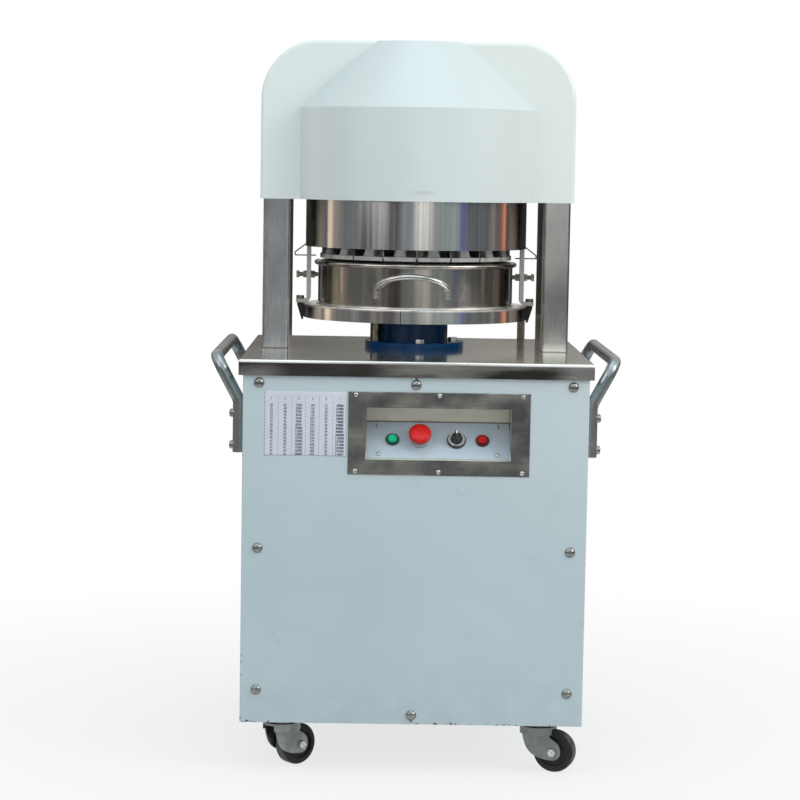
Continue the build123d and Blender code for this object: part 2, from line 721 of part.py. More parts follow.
cheek_inner = wheel_width / 2 + caster_cheek_gap
cheek_half = sqrt((caster_crown_radius - caster_cheek / 2) ** 2 - (cheek_inner + caster_cheek) ** 2)
cheek_knee = caster_axle_end - caster_trail
for corner, (x, y) in caster_places.items():
    turn = radians(caster_turns[corner])
    trail_dir = (cos(turn), sin(turn), 0)
    # Section along the trail: x runs from the kingpin to the axle, y is the height above the floor
    trail_plane = Plane(origin=(x, y, 0), x_dir=trail_dir, z_dir=(sin(turn), -cos(turn), 0))
    axle_origin = (x + caster_trail * cos(turn), y + caster_trail * sin(turn), wheel_radius)
    wheel_plane = Plane(origin=axle_origin, x_dir=trail_dir, z_dir=trail_plane.z_dir)
    wheel_axis = Axis(axle_origin, trail_plane.z_dir)

    # Stamped fork: crown disc with its skirt, and two cheeks that sweep back to the axle
    with BuildPart() as fork:
        with BuildSketch(level(crown_bottom, x, y)):
            Circle(caster_crown_radius)
        extrude(amount=caster_crown_thickness)
        # Pressed skirt round the crown, open between the cheeks for the wheel
        with BuildSketch(Plane(origin=(x, y, crown_bottom), x_dir=trail_dir, z_dir=(0, 0, 1))):
            Circle(caster_crown_radius)
            Circle(caster_crown_radius - caster_cheek, mode=Mode.SUBTRACT)
            Rectangle(2 * caster_crown_radius, 2 * cheek_inner + caster_cheek, mode=Mode.SUBTRACT)
        extrude(amount=-caster_skirt_height)
        for face in (-1, 1):
            with BuildSketch(trail_plane.offset(face * cheek_inner)):
                with BuildLine():
                    # Leading edge drops almost straight, then sweeps under the wheel to the axle boss
                    Line((-cheek_half, crown_bottom), (cheek_half, crown_bottom))
                    Spline(
                        (cheek_half, crown_bottom),
                        (caster_trail - 0.4 * caster_axle_end, wheel_radius + 2 * caster_axle_end),
                        (caster_trail + caster_axle_end, wheel_radius),
                        tangents=((-0.2, -1), (0, -1)),
                    )
                    RadiusArc(
                        (caster_trail + caster_axle_end, wheel_radius),
                        (caster_trail, wheel_radius - caster_axle_end),
                        caster_axle_end,
                    )
                    Spline(
                        (caster_trail, wheel_radius - caster_axle_end),
                        (cheek_knee, wheel_radius + 0.3 * caster_axle_end),
                        (-cheek_half, crown_bottom),
                        tangents=((-1, 0), (-0.2, 1)),
                    )
                make_face()
            extrude(amount=face * caster_cheek)
        with BuildSketch(wheel_plane):
            Circle(axle_radius)
        extrude(amount=2 * cheek_inner, both=True, mode=Mode.SUBTRACT)
        with BuildSketch(level(crown_bottom, x, y)):
            Circle(kingpin_radius + running_clearance)
        extrude(amount=caster_crown_thickness, mode=Mode.SUBTRACT)
    keep(fork, f"{corner}_fork")

    # Axle bolt with its head and nut outside the cheeks
    with BuildPart() as axle:
        with BuildSketch(wheel_plane):
            Circle(axle_radius)
        extrude(amount=cheek_inner + caster_cheek, both=True)
        for face in (-1, 1):
            with BuildSketch(wheel_plane.offset(face * (cheek_inner + caster_cheek))):
                RegularPolygon(axle_head_across / 2, 6, major_radius=False)
            extrude(amount=face * axle_head_height)
    keep(axle, f"{corner}_axle")

    # Wheel: rounded tread on a dished web with a hub
    with BuildPart() as wheel:
        with BuildSketch(Plane(origin=axle_origin, x_dir=(0, 0, 1), z_dir=trail_dir)):
            with BuildLine():
                bore = axle_radius + running_clearance
                hub = cheek_inner - wheel_hub_gap
                half = wheel_width / 2
                rim = wheel_radius - wheel_tread_depth
                Polyline(
                    (bore, -hub), (wheel_hub_radius, -hub), (wheel_hub_radius, wheel_dish - half),
                    (rim, wheel_dish - half), (rim, -half), (wheel_radius - wheel_shoulder, -half),
                )
                RadiusArc((wheel_radius - wheel_shoulder, -half), (wheel_radius, wheel_shoulder - half), -wheel_shoulder)
                Line((wheel_radius, wheel_shoulder - half), (wheel_radius, half - wheel_shoulder))
                RadiusArc((wheel_radius, half - wheel_shoulder), (wheel_radius - wheel_shoulder, half), -wheel_shoulder)
                Polyline(
                    (wheel_radius - wheel_shoulder, half), (rim, half), (rim, half - wheel_dish),
                    (wheel_hub_radius, half - wheel_dish), (wheel_hub_radius, hub), (bore, hub), (bore, -hub),
                )
            make_face()
        revolve(axis=wheel_axis)
    keep(wheel, f"{corner}_wheel")

# Columns: flat rectangular stainless tubes with a floor plate, one each side
column_top = beam_bottom + beam_thickness
for side, node in ((-1, "left_column"), (1, "right_column")):
    with BuildPart() as column:
        with BuildSketch(above_table(0, side * column_x)):
            RectangleRounded(column_width, column_depth, column_corner)
        extrude(amount=column_top)
        with BuildSketch(above_table(column_floor, side * column_x)):
            RectangleRounded(
                column_width - 2 * column_wall, column_depth - 2 * column_wall, column_corner - column_wall
            )
        extrude(amount=column_top - column_floor, mode=Mode.SUBTRACT)
    keep(column, node)

# Head beam: plate between the columns that carries drum, press cylinder and knife cylinders
with BuildPart() as head_beam:
    with BuildSketch(above_table(beam_bottom)):
        Rectangle(column_pitch - column_width, column_depth)
        Circle(drum_radius)
        Circle(press_ram_radius + rod_clearance, mode=Mode.SUBTRACT)
        with GridLocations(2 * knife_rod_x, 0, 2, 1):
            Circle(knife_rod_radius + rod_clearance, mode=Mode.SUBTRACT)
    extrude(amount=beam_thickness)
keep(head_beam, "head_beam")

# Hood: an arched cover over both columns merged with a round body that ends in a cone
hood_width = column_pitch + column_width + 2 * (hood_side_gap + hood_wall)
hood_shapes = []
for inset in (0.0, hood_wall):
    arch_half = column_depth / 2 + hood_wall - inset
    arch_height = hood_top - inset - hood_bottom
    with BuildPart() as hood_shape:
        with BuildSketch(facing_front(head_y + arch_half, z=table_height + hood_bottom)) as arch_outline:
            with Locations((0, arch_height / 2)):
                Rectangle(hood_width - 2 * inset, arch_height)
            fillet(arch_outline.vertices().group_by(Axis.Y)[-1], radius=hood_corner - inset)
        extrude(amount=2 * arch_half)
        # Only the outer skin is rounded along its edges; the columns fill the inner corners
        if inset == 0:
            rims = hood_shape.faces().sort_by(Axis.Y)[0].edges() + hood_shape.faces().sort_by(Axis.Y)[-1].edges()
            fillet(rims.filter_by_position(Axis.Z, table_height + hood_bottom + 1, 2 * table_height), hood_edge)
        with BuildSketch(head_section) as round_outline:
            with BuildLine():
                Polyline(
                    (0, hood_bottom),
                    (hood_radius - inset, hood_bottom),
                    (hood_radius - inset, hood_cone_base - inset / 2),
                    (hood_cone_top_radius - inset / 2, hood_top - inset),
                    (0, hood_top - inset),
                    close=True,
                )
            make_face()
        revolve(axis=head_axis)
    hood_shapes.append(hood_shape.part)
with BuildPart() as hood:
    add(hood_shapes[0])
    add(hood_shapes[1], mode=Mode.SUBTRACT)
keep(hood, "hood")

# Drum: polished shell under the head beam, with a hem and two slots for the wire clips
with BuildPart() as drum:
    with BuildSketch(head_section):
        with BuildLine():
            Polyline(
                (drum_radius, drum_bottom),
                (drum_radius, beam_bottom),
                (drum_radius - drum_wall, beam_bottom),
                (drum_radius - drum_wall, drum_bottom + drum_hem_height),
                (drum_radius - drum_hem_wall, drum_bottom + drum_hem_height),
                (drum_radius - drum_hem_wall, drum_bottom),
                close=True,
            )
        make_face()
    revolve(axis=head_axis)
    with BuildSketch(above_table(drum_bottom)):
        Rectangle(2 * drum_radius + drum_wall, drum_slot_width)
    extrude(amount=drum_slot_height, mode=Mode.SUBTRACT)
keep(drum, "drum")

# Press pads: rings of sector plates on posts, parted by the lanes that the knives run in
pad_nodes = ("inner_pads", "middle_pads", "outer_pads")
post_top = press_plate_bottom - pad_bottom - pad_thickness
for ring, node in enumerate(pad_nodes):
    count = pad_counts[ring]
    outer = ring_limits[ring] - (knife_lane / 2 if ring < len(pad_nodes) - 1 else 0)
    inner = ring_limits[ring - 1] + knife_lane / 2 if ring else pad_centre_hole
    step = 360 / count
    with BuildPart() as pads:
        with BuildSketch(above_table(pad_bottom)):
            Circle(outer)
            Circle(inner, mode=Mode.SUBTRACT)
            with PolarLocations(pad_circle_radius / 2, count, start_angle=-90):
                Rectangle(pad_circle_radius + knife_lane, knife_lane, mode=Mode.SUBTRACT)
        extrude(amount=pad_thickness)
        with BuildSketch(above_table(pad_bottom + pad_thickness)):
            with PolarLocations(post_radii[ring], count, start_angle=step / 2 - 90):
                RectangleRounded(post_length + 2 * post_flare, post_width + 2 * post_flare, post_corner)
        extrude(amount=post_flare / 2, taper=60)
        with BuildSketch(above_table(pad_bottom + pad_thickness)):
            with PolarLocations(post_radii[ring], count, start_angle=step / 2 - 90):
                RectangleRounded(post_length + post_flare, post_width + post_flare, post_corner)
        extrude(amount=2 * post_flare, taper=14)
        with BuildSketch(above_table(pad_bottom + pad_thickness)):
            with PolarLocations(post_radii[ring], count, start_angle=step / 2 - 90):
                RectangleRounded(post_length, post_width, post_corner)
        extrude(amount=post_top)
    keep(pads, node)

# Press plate that the posts hang from
with BuildPart() as press_plate:
    with BuildSketch(above_table(press_plate_bottom)):
        Circle(press_plate_radius)
        with GridLocations(2 * knife_rod_x, 0, 2, 1):
            Circle(knife_rod_radius + post_clearance, mode=Mode.SUBTRACT)
    extrude(amount=press_plate_thickness)
keep(press_plate, "press_plate")

# Press ram and the press cylinder on the beam
with BuildPart() as press_ram:
    with BuildSketch(above_table(press_plate_bottom + press_plate_thickness)):
        Circle(press_ram_radius)
    extrude(amount=press_ram_top - press_plate_bottom - press_plate_thickness)
keep(press_ram, "press_ram")

with BuildPart() as press_cylinder:
    with BuildSketch(above_table(column_top)):
        Circle(press_flange_radius)
    extrude(amount=press_flange_thickness)
    with BuildSketch(above_table(column_top)):
        Circle(press_cylinder_radius)
    extrude(amount=press_cylinder_top - column_top)
    with BuildSketch(above_table(column_top)):
        Circle(press_ram_radius + running_clearance)
    extrude(amount=(press_ram_top + press_cylinder_top) / 2 - column_top, mode=Mode.SUBTRACT)
keep(press_cylinder, "press_cylinder")

# Knife frame: rings and radial blades under a plate; two rods join it to the knife cylinders
with BuildPart() as knife_frame:
    with BuildSketch(above_table(knife_edge)):
        Circle(knife_hub_radius)
        for ring, count in enumerate(pad_counts):
            start = ring_limits[ring - 1] if ring else 0.0
            end = ring_limits[ring] if ring < len(pad_counts) - 1 else knife_reach
            with PolarLocations((start + end) / 2, count, start_angle=-90):
                Rectangle(end - start, knife_thickness)
    extrude(amount=knife_height)
    for limit in ring_limits[:-1]:
        with BuildSketch(above_table(knife_edge)):
            Circle(limit + knife_thickness / 2)
            Circle(limit - knife_thickness / 2, mode=Mode.SUBTRACT)
        extrude(amount=knife_height)
    with BuildSketch(above_table(knife_edge + knife_height)):
        Circle(knife_plate_radius)
        for ring, count in enumerate(pad_counts):
            with PolarLocations(post_radii[ring], count, start_angle=180 / count - 90):
                RectangleRounded(
                    post_length + 2 * post_clearance, post_width + 2 * post_clearance, post_corner,
                    mode=Mode.SUBTRACT,
                )
    extrude(amount=knife_plate_thickness)
keep(knife_frame, "knife_frame")

knife_plate_top = knife_edge + knife_height + knife_plate_thickness
with BuildPart() as knife_rods:
    with BuildSketch(above_table(knife_plate_top)):
        with GridLocations(2 * knife_rod_x, 0, 2, 1):
            Circle(knife_rod_radius)
    extrude(amount=knife_rod_top - knife_plate_top)
keep(knife_rods, "knife_rods")

with BuildPart() as knife_cylinders:
    with BuildSketch(above_table(column_top)):
        with GridLocations(2 * knife_rod_x, 0, 2, 1):
            Circle(knife_cylinder_radius)
    extrude(amount=knife_cylinder_top - column_top)
    with BuildSketch(above_table(column_top)):
        with GridLocations(2 * knife_rod_x, 0, 2, 1):
            Circle(knife_rod_radius + running_clearance)
    extrude(amount=(knife_rod_top + knife_cylinder_top) / 2 - column_top, mode=Mode.SUBTRACT)
keep(knife_cylinders, "knife_cylinders")

# Lift cylinder: flanged barrel through the table
with BuildPart() as lift_cylinder:
    with BuildSketch(head_section):
        with BuildLine():
            bore = lift_ram_radius + running_clearance
            Polyline(
                (0, -lift_barrel_depth),
                (lift_barrel_radius, -lift_barrel_depth),
                (lift_barrel_radius, 0),
                (lift_flange_radius, 0),
                (lift_flange_radius, lift_flange_thickness),
                (lift_body_radius, lift_flange_thickness),
                (lift_body_radius, lift_body_top),
                (bore, lift_body_top),
                (bore, lift_barrel_floor - lift_barrel_depth),
                (0, lift_barrel_floor - lift_barrel_depth),
                close=True,
            )
        make_face()
    revolve(axis=head_axis)
    fillet(lift_cylinder.edges().filter_by(GeomType.CIRCLE).group_by(Axis.Z)[-1].sort_by(SortBy.LENGTH)[-1:], 2)
keep(lift_cylinder, "lift_cylinder")

# Flange bolts, with the tall stop stud for the tray at the left
tray_under = tray_top - tray_disc
with BuildPart() as flange_bolts:
    with BuildSketch(above_table(lift_flange_thickness)):
        with PolarLocations(flange_bolt_circle_radius, 4, flange_bolt_turn):
            RegularPolygon(flange_bolt_across / 2, 6, major_radius=False)
    extrude(amount=flange_bolt_height)
    with BuildSketch(above_table(lift_flange_thickness)):
        with PolarLocations(flange_bolt_circle_radius, 1, 180 + flange_bolt_turn):
            Circle(stop_stud_radius)
    extrude(amount=tray_under - stop_gap - lift_flange_thickness)
keep(flange_bolts, "flange_bolts")

# Lift ram, up to the hub of the tray
hub_bottom = tray_under - tray_hub_height
with BuildPart() as lift_ram:
    with BuildSketch(above_table(-lift_ram_depth)):
        Circle(lift_ram_radius)
    extrude(amount=lift_ram_depth + hub_bottom)
keep(lift_ram, "lift_ram")

# Tray: turned disc with a skirt, a raised seat for the pan and a hub underneath
with BuildPart() as tray:
    with BuildSketch(head_section):
        with BuildLine():
            Polyline(
                (0, hub_bottom),
                (tray_hub_radius, hub_bottom),
                (tray_hub_radius, tray_under),
                (tray_radius - tray_skirt_wall, tray_under),
                (tray_radius - tray_skirt_wall, tray_top - tray_skirt),
                (tray_radius, tray_top - tray_skirt),
                (tray_radius, tray_top),
                (tray_pad_radius, tray_top),
                (tray_pad_radius, tray_top + tray_pad_height),
                (0, tray_top + tray_pad_height),
                close=True,
            )
        make_face()
    revolve(axis=head_axis)
    fillet(tray.edges().filter_by(GeomType.CIRCLE).filter_by_position(
        Axis.Z, table_height + tray_top - 0.01, table_height + tray_top + 0.01).sort_by(SortBy.LENGTH)[-1:], 2)
keep(tray, "tray")

# Straps: flat bars that stand on the tray's rim on a bent-out foot, one each side
foot_top = tray_top + strap_foot_thickness
strap_outer = strap_inner + strap_thickness
with BuildPart() as straps:
    for side in (-1, 1):
        with BuildSketch(facing_front(head_y + strap_width / 2, z=table_height)):
            with BuildLine():
                Polyline(
                    (side * strap_inner, strap_top),
                    (side * strap_inner, tray_top),
                    (side * strap_foot_reach, tray_top),
                    (side * strap_foot_reach, foot_top),
                    (side * strap_outer, foot_top),
                    (side * strap_outer, strap_top),
                    close=True,
                )
            make_face()
        extrude(amount=strap_width)
    heels = straps.edges().filter_by(Axis.Y).filter_by_position(
        Axis.Z, table_height + tray_top - 0.01, table_height + tray_top + 0.01).sort_by(Axis.X)
    fillet([heels[1], heels[-2]], radius=strap_bend)
    elbows = straps.edges().filter_by(Axis.Y).filter_by_position(
        Axis.Z, table_height + foot_top - 0.01, table_height + foot_top + 0.01).sort_by(Axis.X)
    fillet([elbows[1], elbows[-2]], radius=strap_bend - strap_thickness)
    with BuildSketch(facing_side(0, head_y, table_height)):
        with Locations((0, centring_height)):
            Circle(centring_radius + thread_clearance)
        with Locations((0, clip_low_height)):
            Circle(clip_wire_radius + thread_clearance)
    extrude(amount=strap_foot_reach, both=True, mode=Mode.SUBTRACT)
keep(straps, "straps")

# Bolts that hold the strap feet down
with BuildPart() as strap_bolts:
    with BuildSketch(above_table(foot_top)):
        with GridLocations(2 * strap_bolt_x, 0, 2, 1):
            RegularPolygon(strap_bolt_across / 2, 6, major_radius=False)
    extrude(amount=strap_bolt_height)
keep(strap_bolts, "strap_bolts")

# Dark brackets under the overhanging ends of the feet, tapering down along the tray's skirt
with BuildPart() as strap_brackets:
    for side in (-1, 1):
        root = side * (tray_radius + stop_gap)
        with BuildSketch(facing_front(head_y, z=table_height)):
            with BuildLine():
                Polyline(
                    (root, tray_top),
                    (side * bracket_reach, tray_top),
                    (side * bracket_reach, tray_top - bracket_lip),
                    (root + side * bracket_foot, tray_top - bracket_drop),
                    (root, tray_top - bracket_drop),
                    close=True,
                )
            make_face()
        extrude(amount=bracket_width / 2, both=True)
keep(strap_brackets, "strap_brackets")

# Centring bolts through the straps, with lock nuts, almost touching the pan
with BuildPart() as centring_bolts:
    for side in (-1, 1):
        for start, end, across in (
            (pan_radius + stop_gap, centring_reach - centring_head, 0.0),
            (strap_inner - centring_inner_nut, strap_inner, centring_across),
            (strap_outer, strap_outer + centring_nut, centring_across),
            (centring_reach - centring_head, centring_reach, centring_across),
        ):
            with BuildSketch(facing_side(side * start, head_y, table_height + centring_height)):
                if across:
                    RegularPolygon(across / 2, 6, major_radius=False)
                else:
                    Circle(centring_radius)
            extrude(amount=side * (end - start))
keep(centring_bolts, "centring_bolts")

# Wire clips: from the strap's outer face down to an elbow, then in through the strap over the pan rim
with BuildPart() as wire_clips:
    for side in (-1, 1):
        with BuildLine(facing_front(head_y, z=table_height)) as clip_path:
            Polyline(
                (side * (strap_outer + clip_wire_radius), clip_top),
                (side * clip_elbow_reach, clip_elbow_height),
                (side * clip_elbow_reach, clip_low_height),
                (side * clip_tip, clip_low_height),
            )
        with BuildSketch(Plane(clip_path.wires()[0] @ 0, z_dir=clip_path.wires()[0] % 0)):
            Circle(clip_wire_radius)
        sweep(path=clip_path.wires()[0], transition=Transition.ROUND)
keep(wire_clips, "wire_clips")

# Guide bar: hangs from the tray, reaches out under the skirt and down through the table
half_guide = guide_thickness / 2
with BuildPart() as guide_bar:
    with BuildSketch(guide_plane):
        with BuildLine():
            Polyline(
                (guide_root_radius, tray_under),
                (guide_root_radius, guide_arm_height - half_guide),
                (guide_distance - half_guide, guide_arm_height - half_guide),
                (guide_distance - half_guide, -guide_drop),
                (guide_distance + half_guide, -guide_drop),
                (guide_distance + half_guide, guide_arm_height + half_guide),
                (guide_root_radius + guide_thickness, guide_arm_height + half_guide),
                (guide_root_radius + guide_thickness, tray_under),
                close=True,
            )
        make_face()
    extrude(amount=guide_width / 2, both=True)
keep(guide_bar, "guide_bar")

# Guide bracket under the table, a slotted block on the frame's rear rail
with BuildPart() as guide_bracket:
    with BuildSketch(level(table_height - guide_block_drop - guide_block_height)):
        with Locations((guide_x, guide_y)):
            Rectangle(guide_block_width, 2 * (frame_depth / 2 - frame_wall - guide_y))
        with Locations((guide_x, guide_y - guide_block_depth / 2)):
            Rectangle(guide_block_width, guide_block_depth)
        with Locations(Location((guide_x, guide_y), guide_angle)):
            Rectangle(
                guide_thickness + 2 * running_clearance, guide_width + 2 * running_clearance, mode=Mode.SUBTRACT
            )
    extrude(amount=guide_block_height)
keep(guide_bracket, "guide_bracket")

# Pan: thin wall and floor, with a round hoop notched to sit on the wall's top edge
pan_bottom = tray_top + tray_pad_height + pan_seat_gap
rim_centre = pan_bottom + pan_height - pan_rim_radius
with BuildPart() as pan:
    with BuildSketch(head_section):
        with BuildLine():
            Polyline(
                (0, pan_bottom),
                (pan_radius, pan_bottom),
                (pan_radius, rim_centre),
                (pan_radius - pan_wall, rim_centre),
                (pan_radius - pan_wall, pan_bottom + pan_floor),
                (0, pan_bottom + pan_floor),
                close=True,
            )
        make_face()
    revolve(axis=head_axis)
    with BuildSketch(head_section):
        with Locations((pan_radius - pan_wall + pan_rim_radius, rim_centre)):
            Circle(pan_rim_radius)
        with Locations((pan_radius - pan_wall / 2, rim_centre + pan_rim_gap - pan_rim_radius / 2)):
            Rectangle(pan_wall + 2 * pan_rim_gap, pan_rim_radius, mode=Mode.SUBTRACT)
    revolve(axis=head_axis)
keep(pan, "pan")

# Pan handle: bent tube between two lugs on the pan wall
lug_angle = degrees(lug_width / pan_radius)
handle_foot_angle = degrees(pan_handle_width / 2 / pan_radius)
tube_foot = pan_radius + lug_thickness + pan_handle_radius * 0.7
foot_y = sqrt(tube_foot**2 - (pan_handle_width / 2) ** 2)
handle_slant = hypot(pan_handle_reach, pan_handle_rise)
pan_turned = Location((0, head_y, table_height), (0, 0, pan_turn))
handle_plane = Plane(pan_turned * Location(Plane(
    origin=(0, -foot_y, pan_handle_foot),
    x_dir=(1, 0, 0),
    z_dir=(0, -pan_handle_rise / handle_slant, -pan_handle_reach / handle_slant),
)))
with BuildPart() as pan_handle:
    with BuildLine(handle_plane) as bail_path:
        Bezier(
            (-pan_handle_width / 2, 0),
            (pan_handle_lean - pan_handle_width / 2, 4 / 3 * handle_slant),
            (pan_handle_width / 2 - pan_handle_lean, 4 / 3 * handle_slant),
            (pan_handle_width / 2, 0),
        )
    with BuildSketch(Plane(bail_path.wires()[0] @ 0, z_dir=bail_path.wires()[0] % 0)):
        Circle(pan_handle_radius)
    sweep(path=bail_path.wires()[0])
    for side in (-1, 1):
        lug_start = -90 + pan_turn + side * handle_foot_angle - lug_angle / 2
        with BuildSketch(Plane(
            origin=(0, head_y, table_height),
            x_dir=(cos(radians(lug_start)), sin(radians(lug_start)), 0),
            z_dir=(sin(radians(lug_start)), -cos(radians(lug_start)), 0),
        )):
            with Locations((pan_radius + lug_thickness / 2, (lug_bottom + lug_top) / 2)):
                Rectangle(lug_thickness, lug_top - lug_bottom)
        revolve(axis=head_axis, revolution_arc=lug_angle)
keep(pan_handle, "pan_handle")

# Rivets on the lugs
with BuildPart() as pan_rivets:
    for side in (-1, 1):
        rivet_angle = radians(-90 + pan_turn + side * handle_foot_angle)
        outward = (cos(rivet_angle), sin(rivet_angle), 0)
        lug_face = (pan_radius + lug_thickness) * Vector(outward) + Vector(0, head_y, table_height)
        with BuildSketch(Plane(origin=lug_face, x_dir=(-outward[1], outward[0], 0), z_dir=outward)):
            with Locations(*[(0, height) for height in rivet_heights]):
                Circle(rivet_radius)
        extrude(amount=rivet_height)
keep(pan_rivets, "pan_rivets")

# Hydraulic power pack on the bottom plate: oil tank with the motor and pump on top
tank_top = frame_bottom + tank_height
with BuildPart() as power_pack:
    with BuildSketch(level(frame_bottom, y=head_y)):
        RectangleRounded(tank_width, tank_depth, tank_corner)
    extrude(amount=tank_height)
    with BuildSketch(level(frame_bottom + tank_wall, y=head_y)):
        RectangleRounded(tank_width - 2 * tank_wall, tank_depth - 2 * tank_wall, tank_corner - tank_wall)
    extrude(amount=tank_height - 2 * tank_wall, mode=Mode.SUBTRACT)
    with BuildSketch(level(tank_top, tank_width / 2 - filler_inset, head_y - tank_depth / 2 + filler_inset)):
        Circle(filler_radius)
    extrude(amount=-2 * tank_wall, mode=Mode.SUBTRACT)
    with BuildSketch(facing_side(-tank_width / 2, head_y, tank_top + motor_radius)):
        Circle(motor_radius)
    extrude(amount=motor_length)
    with BuildSketch(facing_side(motor_length - tank_width / 2, head_y, tank_top + motor_radius)):
        Circle(pump_radius)
    extrude(amount=pump_length)
keep(power_pack, "power_pack")
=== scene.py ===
import math

import bpy
import numpy as np
from mathutils import Matrix, Vector


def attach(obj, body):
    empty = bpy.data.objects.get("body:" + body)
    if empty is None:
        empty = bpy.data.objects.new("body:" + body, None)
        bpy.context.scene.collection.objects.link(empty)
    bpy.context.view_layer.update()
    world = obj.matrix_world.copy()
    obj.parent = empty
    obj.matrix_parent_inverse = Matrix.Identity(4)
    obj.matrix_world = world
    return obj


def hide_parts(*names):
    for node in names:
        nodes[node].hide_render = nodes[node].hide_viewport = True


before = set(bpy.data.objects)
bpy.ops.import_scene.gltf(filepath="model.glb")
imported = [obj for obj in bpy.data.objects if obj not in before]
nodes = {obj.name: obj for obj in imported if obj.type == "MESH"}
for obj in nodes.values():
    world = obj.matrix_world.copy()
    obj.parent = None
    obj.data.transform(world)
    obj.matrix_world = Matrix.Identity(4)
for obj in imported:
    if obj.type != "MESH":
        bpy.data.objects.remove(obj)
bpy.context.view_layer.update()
for node in nodes.values():
    node.data.materials.clear()

# Casters: four swivel casters bolted under the bottom plate.
# Black rubber wheels run on bolts in pressed, zinc-plated forks, and each fork turns on a riveted kingpin.


def start_finish(name, colour, metallic=0.0, roughness=0.5):
    """New node material; constant colour, metalness and roughness sit on the shader's own sockets."""
    finish = bpy.data.materials.new(name)
    finish.use_nodes = True
    shader = finish.node_tree.nodes["Principled BSDF"]
    shader.inputs["Base Color"].default_value = (*colour, 1.0)
    shader.inputs["Metallic"].default_value = metallic
    shader.inputs["Roughness"].default_value = roughness
    return finish, finish.node_tree, shader


def speckle(tree, scale, detail=3.0, stretch=(1.0, 1.0, 1.0)):
    """Noise over Object coordinates; a small stretch number draws the grain out along that axis."""
    place = tree.nodes.new("ShaderNodeTexCoord")
    mapping = tree.nodes.new("ShaderNodeMapping")
    mapping.inputs["Scale"].default_value = stretch
    noise = tree.nodes.new("ShaderNodeTexNoise")
    noise.inputs["Scale"].default_value = scale
    noise.inputs["Detail"].default_value = detail
    tree.links.new(place.outputs["Object"], mapping.inputs["Vector"])
    tree.links.new(mapping.outputs["Vector"], noise.inputs["Vector"])
    return noise.outputs["Fac"]


def shades(tree, value, *stops):
    """Colour ramp from (position, colour) stops; returns its colour output."""
    ramp = tree.nodes.new("ShaderNodeValToRGB")
    elements = ramp.color_ramp.elements
    while len(elements) < len(stops):
        elements.new(0.5)
    for element, (position, colour) in zip(elements, stops):
        element.position = position
        element.color = (*colour, 1.0)
    tree.links.new(value, ramp.inputs["Fac"])
    return ramp.outputs["Color"]


def reach(tree, value, start, end, low=0.0, high=1.0):
    """Straight-line map of a value from start..end onto low..high, held at both ends."""
    mapped = tree.nodes.new("ShaderNodeMapRange")
    mapped.inputs["From Min"].default_value = start
    mapped.inputs["From Max"].default_value = end
    mapped.inputs["To Min"].default_value = low
    mapped.inputs["To Max"].default_value = high
    tree.links.new(value, mapped.inputs["Value"])
    return mapped.outputs["Result"]


def spread(tree, noise, low, high):
    """Noise carried from its usual run, 0.3 to 0.7, onto low..high."""
    return reach(tree, noise, 0.3, 0.7, low, high)


def figure(tree, operation, first, second=0.0):
    """One arithmetic step; each side is a socket or a plain number."""
    step = tree.nodes.new("ShaderNodeMath")
    step.operation = operation
    for socket, side in zip(step.inputs, (first, second)):
        if isinstance(side, (int, float)):
            socket.default_value = side
        else:
            tree.links.new(side, socket)
    return step.outputs["Value"]


def times(tree, first, second):
    """Product of two values; of two shares it is the share where both hold."""
    return figure(tree, "MULTIPLY", first, second)


def plus(tree, first, second):
    """Sum of two values."""
    return figure(tree, "ADD", first, second)


def tint(tree, share, under, over):
    """Colour that goes from under to over as share goes from 0 to 1; both are sockets or plain colours."""
    mix = tree.nodes.new("ShaderNodeMix")
    mix.data_type = "RGBA"
    tree.links.new(share, mix.inputs[0])
    for socket, colour in zip((mix.inputs[6], mix.inputs[7]), (under, over)):
        if isinstance(colour, tuple):
            socket.default_value = (*colour, 1.0)
        else:
            tree.links.new(colour, socket)
    return mix.outputs[2]


def along(tree, axis):
    """One Object coordinate, in metres."""
    place = tree.nodes.new("ShaderNodeTexCoord")
    split = tree.nodes.new("ShaderNodeSeparateXYZ")
    tree.links.new(place.outputs["Object"], split.inputs["Vector"])
    return split.outputs[axis]


def from_axis(tree, centre, turn, kept):
    """Distance from a centre in a turned frame, counting only the kept axes; all in Object coordinates."""
    place = tree.nodes.new("ShaderNodeTexCoord")
    mapping = tree.nodes.new("ShaderNodeMapping")
    mapping.vector_type = "TEXTURE"
    mapping.inputs["Location"].default_value = centre
    mapping.inputs["Rotation"].default_value = turn
    masked = tree.nodes.new("ShaderNodeVectorMath")
    masked.operation = "MULTIPLY"
    masked.inputs[1].default_value = kept
    length = tree.nodes.new("ShaderNodeVectorMath")
    length.operation = "LENGTH"
    tree.links.new(place.outputs["Object"], mapping.inputs["Vector"])
    tree.links.new(mapping.outputs["Vector"], masked.inputs[0])
    tree.links.new(masked.outputs["Vector"], length.inputs[0])
    return length.outputs["Value"]


def paint(tree, shader, colour, roughness=None, metallic=None):
    """Wires a colour, and a roughness and a metalness where they vary, to the shader."""
    for value, socket in ((colour, "Base Color"), (roughness, "Roughness"), (metallic, "Metallic")):
        if value is not None:
            tree.links.new(value, shader.inputs[socket])


def dent(tree, shader, height, strength, depth):
    """Bump from a height value; depth is in metres."""
    bump = tree.nodes.new("ShaderNodeBump")
    bump.inputs["Strength"].default_value = strength
    bump.inputs["Distance"].default_value = depth
    tree.links.new(height, bump.inputs["Height"])
    tree.links.new(bump.outputs["Normal"], shader.inputs["Normal"])


